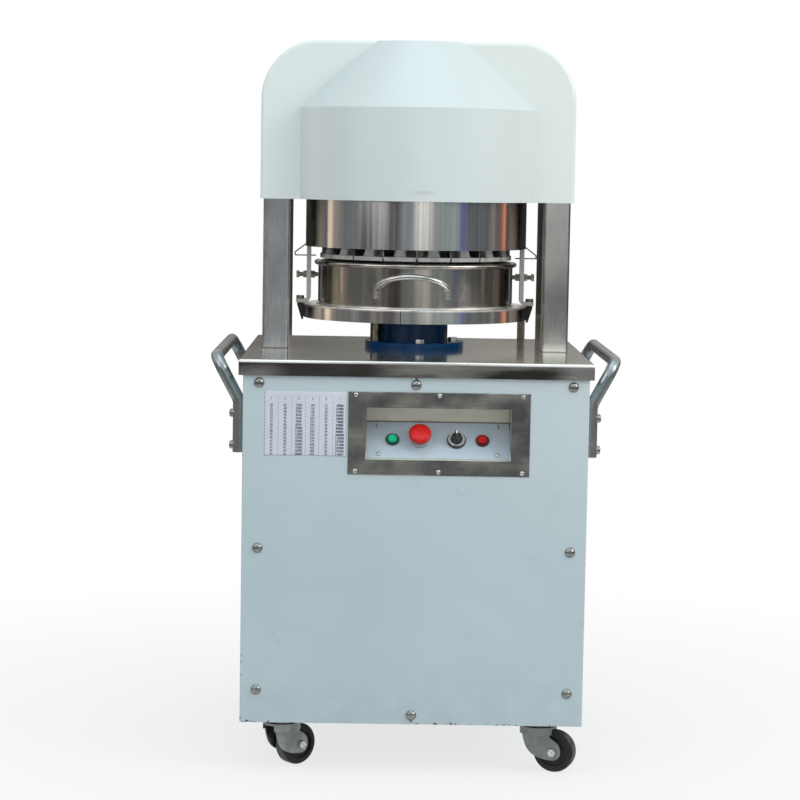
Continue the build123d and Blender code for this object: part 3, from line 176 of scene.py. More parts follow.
def mottled(name, plain, noise, stops, gloss=None, grain=None):
    """New finish whose colour follows one noise, and its roughness too where gloss gives the two ends.

    plain is the constant colour, metalness and roughness, noise a scale and detail, and stops the colours;
    grain is the noise, strength and depth of a bump.
    """
    finish, tree, shader = start_finish(name, *plain)
    mottle = speckle(tree, *noise)
    paint(tree, shader, shades(tree, mottle, *stops), spread(tree, mottle, *gloss) if gloss else None)
    if grain:
        bump_noise, strength, depth = grain
        dent(tree, shader, speckle(tree, *bump_noise), strength, depth)
    return finish


def dress(finish, *names):
    """Gives CAD nodes a finish."""
    for name in names:
        nodes[name].data.materials.append(finish)


caster_turns = {"front_left": 40.0, "front_right": -20.0, "rear_left": 25.0, "rear_right": -8.0}
caster_x, caster_y, caster_trail, wheel_radius = 0.2315, 0.254, 0.0315, 0.0375
scuff_start, scuff_full, ring_rate = 0.0345, 0.0372, 4200.0

for corner, turn in caster_turns.items():
    heading = math.radians(turn)
    axle = (
        math.copysign(caster_x, 1 if "right" in corner else -1) + caster_trail * math.cos(heading),
        math.copysign(caster_y, -1 if "front" in corner else 1) + caster_trail * math.sin(heading),
        wheel_radius,
    )
    rubber, tree, shader = start_finish(f"{corner}_rubber", (0.02, 0.02, 0.022), 0.0, 0.6)
    shader.inputs["Specular IOR Level"].default_value = 0.3
    from_hub = from_axis(tree, axle, (0.0, 0.0, heading), (1.0, 0.0, 1.0))
    dust = speckle(tree, 70.0, 5.0)
    scuff = times(tree, reach(tree, from_hub, scuff_start, scuff_full), reach(tree, dust, 0.35, 0.6, 0.25))
    face = shades(tree, dust, (0.4, (0.010, 0.010, 0.011)), (0.75, (0.032, 0.030, 0.029)))
    paint(tree, shader, tint(tree, scuff, face, (0.10, 0.096, 0.09)), spread(tree, dust, 0.42, 0.72))
    ring = figure(tree, "SINE", times(tree, from_hub, ring_rate))
    dent(tree, shader, plus(tree, times(tree, ring, 0.15), speckle(tree, 900.0, 2.0)), 0.2, 0.0004)
    dress(rubber, f"{corner}_wheel")

zinc, tree, shader = start_finish("zinc_plate", (0.5, 0.52, 0.52), 1.0, 0.4)
spangle = speckle(tree, 70.0, 2.0)
grime = reach(tree, speckle(tree, 22.0, 5.0), 0.5, 0.75)
plated = shades(tree, spangle, (0.35, (0.22, 0.25, 0.245)), (0.7, (0.34, 0.37, 0.36)))
# Painted shade: the forks on the right side are darker.
plated = tint(tree, reach(tree, along(tree, "X"), -0.1, 0.1, 0.0, 0.35), plated, (0.12, 0.135, 0.125))
paint(tree, shader, tint(tree, grime, plated, (0.19, 0.185, 0.175)), spread(tree, spangle, 0.36, 0.54))
dent(tree, shader, speckle(tree, 400.0, 3.0), 0.12, 0.0003)
dress(zinc, "caster_plates", *[f"{corner}_fork" for corner in caster_turns])

bolt_steel = mottled(
    "bolt_steel",
    ((0.62, 0.62, 0.61), 1.0, 0.28),
    (240.0, 4.0),
    ((0.38, (0.42, 0.41, 0.40)), (0.62, (0.68, 0.675, 0.66))),
    (0.36, 0.2),
)
dress(bolt_steel, *[f"{corner}_axle" for corner in caster_turns])

# Cabinet: a welded angle frame with a bottom plate, a power pack inside and sheet panels outside.
# The panels are folded steel sheet in pale blue-grey gloss paint, chipped along the edges.
cabinet_bottom, table_top = 0.093, 0.740
cabinet_half_width, cabinet_half_depth = 0.3045, 0.314
light_start, light_full, dust_top = table_top - 0.54, table_top - 0.1, 0.12
chip_edge, chip_level = (0.0005, 0.006), (1.045, 1.075)


def fade(tree, value, start, end, full=1.0):
    """Share that is full up to start and falls in a straight line to 0 at end."""
    return reach(tree, value, start, end, full, 0.0)


grey_primer = mottled(
    "grey_primer",
    ((0.16, 0.17, 0.18), 0.0, 0.55),
    (40.0, 4.0),
    ((0.35, (0.13, 0.14, 0.15)), (0.7, (0.19, 0.20, 0.21))),
    (0.45, 0.65),
    ((500.0, 3.0), 0.15, 0.0003),
)
dress(grey_primer, "base_frame", "guide_bracket", "power_pack")

cabinet_paint, tree, shader = start_finish("cabinet_paint", (0.44, 0.55, 0.6), 0.0, 0.32)
clouds = speckle(tree, 3.5, 3.0)
coat = shades(tree, clouds, (0.3, (0.425, 0.535, 0.578)), (0.7, (0.465, 0.575, 0.612)))
# Painted light: the panels are lighter high up and towards the right.
high_up = reach(tree, along(tree, "Z"), light_start, light_full)
sunlit = times(tree, high_up, reach(tree, along(tree, "X"), -0.1, 0.28, 0.3, 0.7))
coat = tint(tree, sunlit, coat, (0.56, 0.64, 0.66))
smear = reach(tree, speckle(tree, 9.0, 5.0, (0.35, 0.35, 2.2)), 0.58, 0.74, 0.0, 0.14)
coat = tint(tree, smear, coat, (0.34, 0.38, 0.40))
side_gap = figure(tree, "SUBTRACT", cabinet_half_width, figure(tree, "ABSOLUTE", along(tree, "X")))
end_gap = figure(tree, "SUBTRACT", cabinet_half_depth, figure(tree, "ABSOLUTE", along(tree, "Y")))
corner_gap = figure(tree, "MAXIMUM", side_gap, end_gap)
foot_gap = figure(tree, "SUBTRACT", along(tree, "Z"), cabinet_bottom)
edge_gap = figure(tree, "MINIMUM", corner_gap, foot_gap)
near_edge = fade(tree, edge_gap, *chip_edge)
low_down = reach(tree, foot_gap, 0.01, 0.25, 1.0, 0.86)
chips = plus(tree, speckle(tree, 130.0, 4.0), times(tree, speckle(tree, 12.0, 2.0), 0.6))
chips = plus(tree, chips, times(tree, near_edge, 0.16))
chipped = reach(tree, times(tree, chips, low_down), *chip_level)
chipped = times(tree, chipped, reach(tree, near_edge, 0.05, 0.2))
coat = tint(tree, chipped, coat, (0.05, 0.048, 0.05))
dust = reach(tree, speckle(tree, 25.0, 5.0), 0.35, 0.7)
dust = times(tree, fade(tree, foot_gap, 0.0, dust_top, 0.28), dust)
coat = tint(tree, dust, coat, (0.30, 0.33, 0.33))
gloss = spread(tree, speckle(tree, 14.0, 4.0), 0.27, 0.4)
paint(tree, shader, coat, plus(tree, gloss, times(tree, chipped, 0.3)))
peel = figure(tree, "SUBTRACT", speckle(tree, 420.0, 1.0), times(tree, chipped, 2.0))
dent(tree, shader, peel, 0.1, 0.0004)
dress(cabinet_paint, "front_panel", "side_panels", "rear_panel", "bottom_plate")

# Panel screws: eight dome-head screws with a rolled lip hold the front panel.
# They are worn steel, and stand in for the plain heads of the model.


def quads(copies, rings, sides):
    """Faces between neighbouring rings of closed loops, for several copies that lie one after another."""
    ring, side = np.meshgrid(np.arange(rings - 1), np.arange(sides), indexing="ij")
    after = (side + 1) % sides
    below, above = ring * sides, (ring + 1) * sides
    one = np.stack((below + side, below + after, above + after, above + side), axis=-1).reshape(-1, 4)
    return (one[None] + (np.arange(copies) * rings * sides)[:, None, None]).reshape(-1, 4)


def new_piece(name, points, faces, finish, body):
    """Makes a smooth mesh object at the origin, gives it its finish, and lets it ride on a body."""
    mesh = bpy.data.meshes.new(name)
    mesh.from_pydata(np.asarray(points).reshape(-1, 3).tolist(), [], faces)
    mesh.materials.append(finish)
    mesh.polygons.foreach_set("use_smooth", np.ones(len(mesh.polygons), dtype=bool))
    piece = bpy.data.objects.new(name, mesh)
    bpy.context.scene.collection.objects.link(piece)
    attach(piece, body)
    return piece


def heads(places, right, up, outline, profile, sides=48):
    """Like heads at several places, in millimetres across and metres apart.

    Ring by ring the radius is the profile's own, or its share of the recess outline where a share is given;
    the height is measured along right x up, and the last ring is closed by one face.
    """
    angle = np.arange(sides) * 2 * np.pi / sides
    radius, height, share = np.array(profile).T[..., None] / np.array([1000, 1000, 1])[:, None, None]
    ring = np.where(share > 0, share * outline(angle) / 1000, radius)
    out = np.cross(right, up)
    one = (
        (ring * np.cos(angle))[..., None] * np.array(right)
        + (ring * np.sin(angle))[..., None] * np.array(up)
        + (height + 0 * ring)[..., None] * out
    )
    points = np.array(places)[:, None, None, :] + one
    rings = len(profile)
    faces = quads(len(places), rings, sides).tolist()
    last = (np.arange(len(places)) * rings + rings - 1)[:, None] * sides + np.arange(sides)
    return points, faces + last.tolist()


def no_recess(angle):
    """Outline of a head without a recess; the profile's own radii are used."""
    return np.ones_like(angle)


screw_steel = mottled(
    "screw_steel",
    ((0.55, 0.54, 0.52), 1.0, 0.25),
    (180.0, 4.0),
    ((0.35, (0.20, 0.20, 0.19)), (0.65, (0.34, 0.337, 0.325))),
    (0.36, 0.26),
)
panel_front, screw_side = -cabinet_half_depth, 0.276
screw_top, screw_middle = table_top - 0.041, table_top - 0.334
screw_low, screw_foot = cabinet_bottom + 0.059, cabinet_bottom + 0.0165
side_heights = (screw_top, screw_middle, screw_low)
panel_screw_places = [(x, panel_front, z) for x in (-screw_side, screw_side) for z in side_heights]
panel_screw_places += [(0.0, panel_front, screw_top), (0.0, panel_front, screw_foot)]
dome_profile = [
    (8.5, -1.5, 0), (8.5, 0.0, 0), (8.9, 0.3, 0), (8.9, 0.9, 0), (8.4, 1.3, 0), (8.1, 1.9, 0),
    (7.5, 2.8, 0), (6.5, 3.7, 0), (5.2, 4.45, 0), (3.7, 5.0, 0), (2.1, 5.3, 0), (0.7, 5.4, 0),
]
points, faces = heads(panel_screw_places, (1, 0, 0), (0, 0, 1), no_recess, dome_profile)
panel_heads = new_piece("panel_heads", points, faces, screw_steel, "machine")
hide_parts("panel_screws")

# Weight chart: a printed sheet of paper glued beside the controls.
# It has a plain ruled table with columns of numbers, and its corners lift a little.
chart_left, chart_right = -0.266, -0.122
chart_bottom, chart_top = table_top - 0.169, table_top - 0.055
chart_width, chart_height = chart_right - chart_left, chart_top - chart_bottom
chart_columns, chart_rows, chart_head, chart_foot = 6, 16, 0.188, 0.004
row_share = (1 - chart_head - chart_foot) / chart_rows
columns_top, rows_top, title_foot, title_top = (0.915, 0.917), (0.81, 0.82), (0.83, 0.84), (0.93, 0.94)
corner_lift, paper_wave, paper_gap, paper_thickness, ink_gap = 0.0006, 0.00008, 0.0002, 0.00015, 0.0006


def grid_faces(shape):
    """Quads of a grid of points that are counted row by row."""
    index = np.arange(math.prod(shape)).reshape(shape)
    loops = (index[:-1, :-1], index[:-1, 1:], index[1:, 1:], index[1:, :-1])
    return np.stack(loops, axis=-1).reshape(-1, 4).tolist()


across, rise = np.meshgrid(np.linspace(0, 1, 49), np.linspace(0, 1, 37))
lift = corner_lift * (np.abs(2 * across - 1) * np.abs(2 * rise - 1)) ** 6
wave = paper_wave * (1 + np.sin(9 * across + 5 * rise))
chart_points = np.stack(
    (
        chart_left + across * chart_width,
        panel_front - paper_gap - lift - wave,
        chart_bottom + rise * chart_height,
    ),
    axis=-1,
)

paper, tree, shader = start_finish("chart_paper", (0.74, 0.75, 0.82), 0.0, 0.6)
sheet_place = tree.nodes.new("ShaderNodeUVMap")
sheet_split = tree.nodes.new("ShaderNodeSeparateXYZ")
tree.links.new(sheet_place.outputs["UV"], sheet_split.inputs["Vector"])
u, v = sheet_split.outputs["X"], sheet_split.outputs["Y"]


def ruled(tree, value, count, width):
    """Ruling: 1 on equally spaced lines and 0 between; count to a whole, width as a share of the step."""
    step = figure(tree, "PINGPONG", times(tree, value, float(count)), 0.5)
    return fade(tree, step, width * 0.5, width)


columns = times(tree, ruled(tree, u, chart_columns, 0.022), fade(tree, v, *columns_top))
head_lines = times(tree, ruled(tree, v, 12, 0.025), reach(tree, v, *title_foot))
head_lines = times(tree, head_lines, fade(tree, v, *title_top))
table_rise = figure(tree, "SUBTRACT", v, chart_foot)
row_lines = times(tree, ruled(tree, table_rise, 1 / row_share, 0.05), fade(tree, v, *rows_top, 0.6))
lines = figure(tree, "MAXIMUM", figure(tree, "MAXIMUM", columns, head_lines), row_lines)
sheet_tone = shades(tree, speckle(tree, 18.0, 4.0), (0.3, (0.55, 0.60, 0.67)), (0.7, (0.61, 0.66, 0.72)))
printed = tint(tree, times(tree, lines, 0.62), sheet_tone, (0.20, 0.20, 0.24))
paint(tree, shader, printed, spread(tree, speckle(tree, 60.0), 0.5, 0.68))
dent(tree, shader, speckle(tree, 1500.0, 2.0), 0.1, 0.0001)
chart = new_piece("weight_chart", chart_points, grid_faces(across.shape), paper, "machine")
sheet_map = chart.data.uv_layers.new(name="sheet")
corner_points = np.empty(len(chart.data.loops), dtype=np.int32)
chart.data.loops.foreach_get("vertex_index", corner_points)
sheet_map.data.foreach_set("uv", np.stack((across, rise), axis=-1).reshape(-1, 2)[corner_points].ravel())
backing = chart.modifiers.new("backing", "SOLIDIFY")
backing.thickness = paper_thickness
backing.offset = -1.0

ink = mottled(
    "chart_ink",
    ((0.03, 0.03, 0.05), 0.0, 0.6),
    (700.0, 3.0),
    ((0.4, (0.02, 0.02, 0.04)), (0.75, (0.16, 0.16, 0.2))),
)
figure_size, first_row_drop = 0.0052, 0.0049
row_step = chart_height * row_share
column_numbers = ((30, 1), (36, 2), (1250, 1250), (100, 25), (12, 4), (10500, 10500))
column_weights = (0.00008, 0.00008, 0.00014, 0.00008, 0.00008, 0.0002)
for column in range(chart_columns):
    lettering = bpy.data.curves.new(f"chart_column_{column + 1}", "FONT")
    first, step = column_numbers[column]
    rows = [str(first + row * step) for row in range(chart_rows)]
    lettering.body = "\n".join([str(column + 1), ""] + rows)
    lettering.size = figure_size
    lettering.space_line = row_step / lettering.size
    lettering.align_x = "CENTER"
    lettering.offset = column_weights[column]
    carrier = bpy.data.objects.new("lettering", lettering)
    flat = bpy.data.meshes.new_from_object(carrier)
    bpy.data.objects.remove(carrier)
    middle = chart_left + (column + 0.5) / chart_columns * chart_width
    first_line = chart_top - chart_head * chart_height - first_row_drop + 2 * row_step
    upright = Matrix.Rotation(math.pi / 2, 4, "X")
    flat.transform(Matrix.Translation((middle, panel_front - ink_gap, first_line)) @ upright)
    flat.materials.clear()
    flat.materials.append(ink)
    figures = bpy.data.objects.new(f"chart_column_{column + 1}", flat)
    bpy.context.scene.collection.objects.link(figures)
    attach(figures, "machine")

# Control recess: a sunk stainless box behind a stainless frame that is screwed to the front panel.
# A cream plate leans back in it and carries the start, stop, emergency and selector switches.
recess_middle, recess_wall = 0.04, (0.1272, 0.1278)
recess_floor, recess_back = (table_top - 0.1125, table_top - 0.1105), (-0.254, -0.252)

worn_steel, tree, shader = start_finish("worn_steel", (0.5, 0.49, 0.47), 1.0, 0.3)
blotch = speckle(tree, 20.0, 6.0, (0.7, 1.0, 1.0))
brushed = speckle(tree, 60.0, 4.0, (0.3, 8.0, 8.0))
tone = shades(
    tree, blotch, (0.36, (0.14, 0.145, 0.155)), (0.5, (0.265, 0.27, 0.26)), (0.66, (0.50, 0.49, 0.44))
)
paint(tree, shader, tone, plus(tree, spread(tree, blotch, 0.34, 0.22), spread(tree, brushed, 0.0, 0.12)))
dent(tree, shader, brushed, 0.06, 0.0002)
dress(worn_steel, "control_bezel")

box_steel, tree, shader = start_finish("box_steel", (0.72, 0.72, 0.64), 0.5, 0.12)
blotch = speckle(tree, 30.0, 5.0)
sheet_tone = shades(tree, blotch, (0.3, (0.80, 0.80, 0.68)), (0.65, (0.97, 0.97, 0.86)))
# Painted shade: the side walls of the recess and the foot of its back wall are darker.
from_centre = figure(tree, "ABSOLUTE", figure(tree, "SUBTRACT", along(tree, "X"), recess_middle))
on_side = reach(tree, from_centre, *recess_wall)
at_foot = fade(tree, along(tree, "Z"), *recess_floor, 0.85)
at_foot = times(tree, at_foot, reach(tree, along(tree, "Y"), *recess_back))
recess_shade = figure(tree, "MAXIMUM", times(tree, on_side, 0.8), at_foot)
paint(tree, shader, tint(tree, recess_shade, sheet_tone, (0.10, 0.08, 0.065)), spread(tree, blotch, 0.16, 0.07))
dress(box_steel, "control_box")

cream_paint = mottled(
    "cream_paint",
    ((0.70, 0.75, 0.74), 0.0, 0.35),
    (22.0, 4.0),
    ((0.3, (0.43, 0.525, 0.605)), (0.7, (0.475, 0.565, 0.645))),
    (0.28, 0.45),
    ((500.0, 1.0), 0.06, 0.0003),
)
dress(cream_paint, "control_plate")

plate_lean, plate_thickness = math.atan2(60.0, 50.0), 0.002
plate_up = np.array((0.0, math.cos(plate_lean), math.sin(plate_lean)))
plate_out = np.array((0.0, -math.sin(plate_lean), math.cos(plate_lean)))
plate_middle = np.array((0.0, -0.275, table_top - 0.144)) + plate_thickness * plate_out
start_x, estop_x, selector_x, stop_x = -0.0405, 0.008, 0.073, 0.119


def on_plate(x, up=0.0, out=0.0):
    """Place on the leaning plate: x across, up along its face and out along its normal, from its middle."""
    return tuple(plate_middle + np.array((x, 0, 0)) + up * plate_up + out * plate_out)


def cross(angle):
    """Distance to the outline of a cross with arms 0.9 mm wide and 4.2 mm long in all."""
    half_length, half_width = 2.1, 0.45
    c, s = np.abs(np.cos(angle)) + 1e-9, np.abs(np.sin(angle)) + 1e-9
    level, upright = np.minimum(half_length / c, half_width / s), np.minimum(half_length / s, half_width / c)
    return np.maximum(level, upright)


pan_profile = [
    (4.0, -0.3, 0), (4.2, 0.2, 0), (4.1, 1.2, 0), (3.6, 2.0, 0), (2.7, 2.5, 0), (2.4, 2.6, 0),
    (0, 2.62, 1.04), (0, 2.5, 1.0), (0, 1.3, 0.9), (0, 1.2, 0.3),
]
bezel_thickness, bezel_columns = 0.002, (-0.106, 0.041, 0.188)
bezel_rows = (table_top - 0.0595, table_top - 0.1945)
bezel_places = [(x, panel_front - bezel_thickness, z) for x in bezel_columns for z in bezel_rows]
bezel_points, bezel_faces = heads(bezel_places, (1, 0, 0), (0, 0, 1), cross, pan_profile)
plate_columns, plate_row = (-0.065, 0.145), 0.03005
plate_places = [on_plate(x, y) for x in plate_columns for y in (-plate_row, plate_row)]
plate_points, plate_faces = heads(plate_places, (1, 0, 0), plate_up, cross, pan_profile)
shift = bezel_points.reshape(-1, 3).shape[0]
control_points = np.concatenate((bezel_points.reshape(-1, 3), plate_points.reshape(-1, 3)))
control_faces = bezel_faces + [[corner + shift for corner in face] for face in plate_faces]
control_heads = new_piece(
    "control_heads", control_points, control_faces, bolt_steel, "machine"
)
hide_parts("control_screws")

after_start, after_estop, after_selector = (-0.021, -0.020), (0.045, 0.046), (0.098, 0.099)
silver_edge = (0.0146, 0.0148)
collar_mix, tree, shader = start_finish("collar_mix", (0.3, 0.3, 0.3), 0.0, 0.35)
along_x = along(tree, "X")
plastic = speckle(tree, 200.0)
grey_collar = shades(tree, plastic, (0.3, (0.27, 0.28, 0.28)), (0.7, (0.36, 0.37, 0.37)))
rings = tint(tree, reach(tree, along_x, *after_start), (0.003, 0.035, 0.022), grey_collar)
from_selector = from_axis(tree, on_plate(selector_x), (plate_lean, 0.0, 0.0), (1.0, 1.0, 0.0))
silver = fade(tree, from_selector, *silver_edge)
knurl = shades(tree, speckle(tree, 900.0, 1.0), (0.4, (0.3, 0.3, 0.3)), (0.6, (0.75, 0.75, 0.74)))
selector_ring = tint(tree, silver, (0.012, 0.012, 0.014), knurl)
rings = tint(tree, reach(tree, along_x, *after_estop), rings, selector_ring)
rings = tint(tree, reach(tree, along_x, *after_selector), rings, (0.06, 0.004, 0.006))
paint(tree, shader, rings, spread(tree, plastic, 0.25, 0.42), times(tree, silver, 0.9))
dress(collar_mix, "control_collars")

for name, place_x, core, rim, edge, node in (
    ("start_green", start_x, (0.0, 0.60, 0.285), (0.0, 0.25, 0.125), 0.009, "start_button"),
    ("stop_red", stop_x, (0.60, 0.005, 0.012), (0.25, 0.003, 0.007), 0.009, "stop_button"),
    ("emergency_red", estop_x, (0.66, 0.012, 0.010), (0.50, 0.008, 0.008), 0.020, "estop_cap"),
):
    plastic, tree, shader = start_finish(name, core, 0.0, 0.3)
    shader.inputs["Specular IOR Level"].default_value = 0.25
    from_middle = from_axis(tree, on_plate(place_x), (plate_lean, 0.0, 0.0), (1.0, 1.0, 0.0))
    scuff = speckle(tree, 160.0, 4.0)
    skin = tint(tree, reach(tree, from_middle, 0.55 * edge, 0.98 * edge), core, rim)
    skin = tint(tree, reach(tree, scuff, 0.6, 0.78, 0.0, 0.12), skin, (0.7, 0.6, 0.6))
    paint(tree, shader, skin, spread(tree, scuff, 0.2, 0.38))
    dress(plastic, node)

knob_black = mottled(
    "knob_black",
    ((0.015, 0.016, 0.02), 0.0, 0.3),
    (150.0, 4.0),
    ((0.4, (0.008, 0.009, 0.012)), (0.75, (0.03, 0.032, 0.036))),
    (0.18, 0.4),
)
dress(knob_black, "selector_knob")


def pill(angle):
    """Distance to a bar with round ends, 3.2 mm wide and 8.2 mm long, upright."""
    half_width, straight = 1.6, 2.5
    c, s = np.abs(np.cos(angle)) + 1e-9, np.abs(np.sin(angle)) + 1e-9
    end = straight * s + np.sqrt(np.maximum(half_width**2 - (straight * c) ** 2, 0.0))
    return np.where(half_width * s / c < straight, half_width / c, end)


white_mark = mottled(
    "white_mark",
    ((0.75, 0.76, 0.76), 0.0, 0.4),
    (400.0, 3.0),
    ((0.3, (0.6, 0.61, 0.61)), (0.6, (0.8, 0.81, 0.81))),
)
pointer_up, knob_height = 0.0038, 0.02455
pointer_profile = [(0, -0.4, 1.0), (0, 0.3, 1.0), (0, 0.5, 0.8), (0, 0.55, 0.3)]
pointer_place = on_plate(selector_x, pointer_up, knob_height)
points, faces = heads([pointer_place], (1, 0, 0), plate_up, pill, pointer_profile)
new_piece("selector_pointer", points, faces, white_mark, "selector")

# Table: one stainless sheet folded down all round and welded at the corners.
# It is polished, with fine scratches, dough stains and a painted highlight along the rounded edge.
# The fold is smeared and carries painted reflections, with painted shade on the left and painted light at the
# right end; the top has a painted warm reflection towards the right.
fold_edge, glare_foot = (table_top - 0.0045, table_top - 0.0025), (table_top - 0.0060, table_top - 0.0042)
glare_top = (table_top - 0.0012, table_top - 0.0004)
dark_start, dark_end, light_end = (-0.27, -0.22), (-0.09, -0.045), (0.24, 0.275)
pale_start, pale_end = (0.09, 0.14), (0.2, 0.24)
table_steel, tree, shader = start_finish("table_steel", (0.62, 0.6, 0.57), 0.86, 0.12)
scratch = speckle(tree, 60.0, 4.0, (0.4, 14.0, 14.0))
smear = speckle(tree, 5.0, 5.0, (0.9, 0.9, 5.0))
table_x, table_z = along(tree, "X"), along(tree, "Z")
on_fold = fade(tree, table_z, *fold_edge)
top_tone = shades(tree, speckle(tree, 7.0, 5.0), (0.3, (0.43, 0.425, 0.395)), (0.7, (0.65, 0.635, 0.585)))
# Painted reflections: dark and bright streaks on the fold, over real smears.
fold_reflections = shades(
    tree,
    smear,
    (0.36, (0.08, 0.073, 0.066)),
    (0.47, (0.33, 0.315, 0.30)),
    (0.56, (0.51, 0.495, 0.47)),
    (0.66, (0.26, 0.245, 0.235)),
)
# Painted shade on the left of the fold and painted light at its right end.
fold_shade = times(tree, reach(tree, table_x, *dark_start, 0.0, 0.85), fade(tree, table_x, *dark_end))
fold_reflections = tint(tree, fold_shade, fold_reflections, (0.07, 0.062, 0.055))
fold_light = reach(tree, table_x, *light_end, 0.0, 0.6)
fold_reflections = tint(tree, fold_light, fold_reflections, (0.72, 0.73, 0.71))
# Painted reflection: a warm pale patch on the top towards the right.
top_reflection = times(tree, reach(tree, table_x, *pale_start, 0.0, 0.45), fade(tree, table_x, *pale_end))
top_tone = tint(tree, top_reflection, top_tone, (0.86, 0.80, 0.66))
steel_tone = tint(tree, on_fold, top_tone, fold_reflections)
# Painted highlight along the rounded top edge, weaker in the middle.
edge_glare = times(tree, reach(tree, table_z, *glare_foot), fade(tree, table_z, *glare_top))
to_side = figure(tree, "ABSOLUTE", table_x)
edge_glare = times(tree, edge_glare, reach(tree, to_side, 0.03, 0.2, 0.45, 1.0))
steel_tone = tint(tree, edge_glare, steel_tone, (0.93, 0.94, 0.92))
mirrored = reach(tree, edge_glare, 0.0, 1.0, 0.86, 0.15)
paint(tree, shader, steel_tone, spread(tree, scratch, 0.05, 0.15), mirrored)
dent(tree, shader, plus(tree, scratch, times(tree, speckle(tree, 9.0, 2.0), 6.0)), 0.06, 0.0003)
dress(table_steel, "table_top")

# Push handles: bent stainless tube, one along each side of the cabinet, with a painted bluish sky reflection
# on the slopes and painted shade on the bar.
# Two round-head bolts a leg hold them to the cabinet's sides.
slope_foot, bar_end = (table_top - 0.08, table_top - 0.05), (0.21, 0.235)
tube_steel, tree, shader = start_finish("tube_steel", (0.5, 0.5, 0.5), 0.8, 0.28)
clean = shades(tree, speckle(tree, 9.0, 3.0), (0.3, (0.28, 0.285, 0.28)), (0.65, (0.38, 0.385, 0.37)))
# Painted reflection: the slopes take a bluish tone of the sky.
slope_reflection = reach(tree, along(tree, "Z"), *slope_foot, 0.0, 0.6)
clean = tint(tree, slope_reflection, clean, (0.27, 0.345, 0.385))
# Painted shade: the bar is darker.
bar_shade = fade(tree, figure(tree, "ABSOLUTE", along(tree, "Y")), *bar_end, 0.75)
tube_light_and_shade = tint(tree, bar_shade, clean, (0.15, 0.145, 0.125))
paint(tree, shader, tube_light_and_shade, spread(tree, speckle(tree, 60.0, 3.0), 0.22, 0.32))
dent(tree, shader, speckle(tree, 40.0, 2.0), 0.03, 0.0003)
dress(tube_steel, "handles")
dress(screw_steel, "handle_bolts")

# Columns: two rectangular stainless tubes with a beam across that carry the head, brushed lengthwise.
# They show cloudy rub marks, a painted glare above the weld at the foot and painted shade on the right
# column, deepest in a band above the table; the left column grows darker higher up.
# A painted light strip runs up the front of each inner side.
column_front, column_inside, strip_end = (-0.0405, -0.0395), (0.2367, 0.2369), (-0.012, 0.012)
shade_height, shade_half, darken_rise = 0.1, 0.07, (table_top + 0.08, table_top + 0.32)
foot_height, weld_height = (0.003, 0.018), (0.001, 0.0022)
column_steel, tree, shader = start_finish("column_steel", (0.58, 0.6, 0.61), 1.0, 0.2)
grain = speckle(tree, 90.0, 4.0, (10.0, 10.0, 0.3))
rub = speckle(tree, 16.0, 5.0, (1.0, 1.0, 0.5))
bright = shades(tree, rub, (0.3, (0.46, 0.48, 0.50)), (0.5, (0.60, 0.62, 0.63)), (0.7, (0.72, 0.73, 0.73)))
# Painted shade: the right column takes a darker copy of the steel.
right_shade_tone = shades(tree, rub, (0.3, (0.31, 0.325, 0.32)), (0.5, (0.40, 0.415, 0.405)), (0.7, (0.48, 0.49, 0.475)))
on_right = reach(tree, along(tree, "X"), -0.05, 0.05)
rub_and_light = tint(tree, on_right, bright, right_shade_tone)
# The left column grows darker higher up.
left_darkening = reach(tree, along(tree, "Z"), *darken_rise, 0.1, 0.34)
left_darkening = times(tree, left_darkening, fade(tree, on_right, 0.0, 1.0))
rub_and_light = tint(tree, left_darkening, rub_and_light, (0.12, 0.12, 0.13))
above_table = figure(tree, "SUBTRACT", along(tree, "Z"), table_top)
from_band = figure(tree, "ABSOLUTE", figure(tree, "SUBTRACT", above_table, shade_height))
shaded = times(tree, fade(tree, from_band, 0.0, shade_half, 0.4), on_right)
rub_and_light = tint(tree, shaded, rub_and_light, (0.10, 0.105, 0.10))
foot_glare = times(tree, fade(tree, above_table, *foot_height), reach(tree, on_right, 0.0, 1.0, 0.3, 0.6))
foot_glare = times(tree, foot_glare, fade(tree, along(tree, "Y"), *column_front))
rub_and_light = tint(tree, foot_glare, rub_and_light, (1.0, 0.97, 0.88))
# Painted light: a strip up the front of each inner side, less metallic there.
inner_glare = fade(tree, figure(tree, "ABSOLUTE", along(tree, "X")), *column_inside)
inner_glare = times(tree, inner_glare, fade(tree, along(tree, "Y"), *strip_end))
glare_tone = tint(tree, on_right, (1.0, 0.91, 0.76), (0.66, 0.54, 0.46))
rub_and_light = tint(tree, inner_glare, rub_and_light, glare_tone)
weld = fade(tree, above_table, *weld_height, 0.6)
rub_and_light = tint(tree, weld, rub_and_light, (0.04, 0.04, 0.036))
rough = plus(tree, spread(tree, rub, 0.10, 0.2), spread(tree, grain, 0.0, 0.12))
paint(tree, shader, rub_and_light, rough, fade(tree, inner_glare, 0.0, 1.0))
dent(tree, shader, plus(tree, grain, times(tree, rub, 5.0)), 0.06, 0.0002)
dress(column_steel, "left_column", "right_column", "head_beam")

# Lift cylinder: a casting in dark blue paint that is bolted through the table, with painted shade on the
# barrel under the tray.
# Bright hexagon bolts hold the flange, and a browned stop stud stands beside it.
flange_top, stud_side = (table_top + 0.0125, table_top + 0.014), (-0.056, -0.055)
navy_paint, tree, shader = start_finish("navy_paint", (0.006, 0.045, 0.17), 0.0, 0.22)
shader.inputs["Specular IOR Level"].default_value = 0.28
coat = speckle(tree, 30.0, 4.0)
flange_blue = shades(tree, coat, (0.3, (0.001, 0.050, 0.170)), (0.7, (0.001, 0.086, 0.270)))
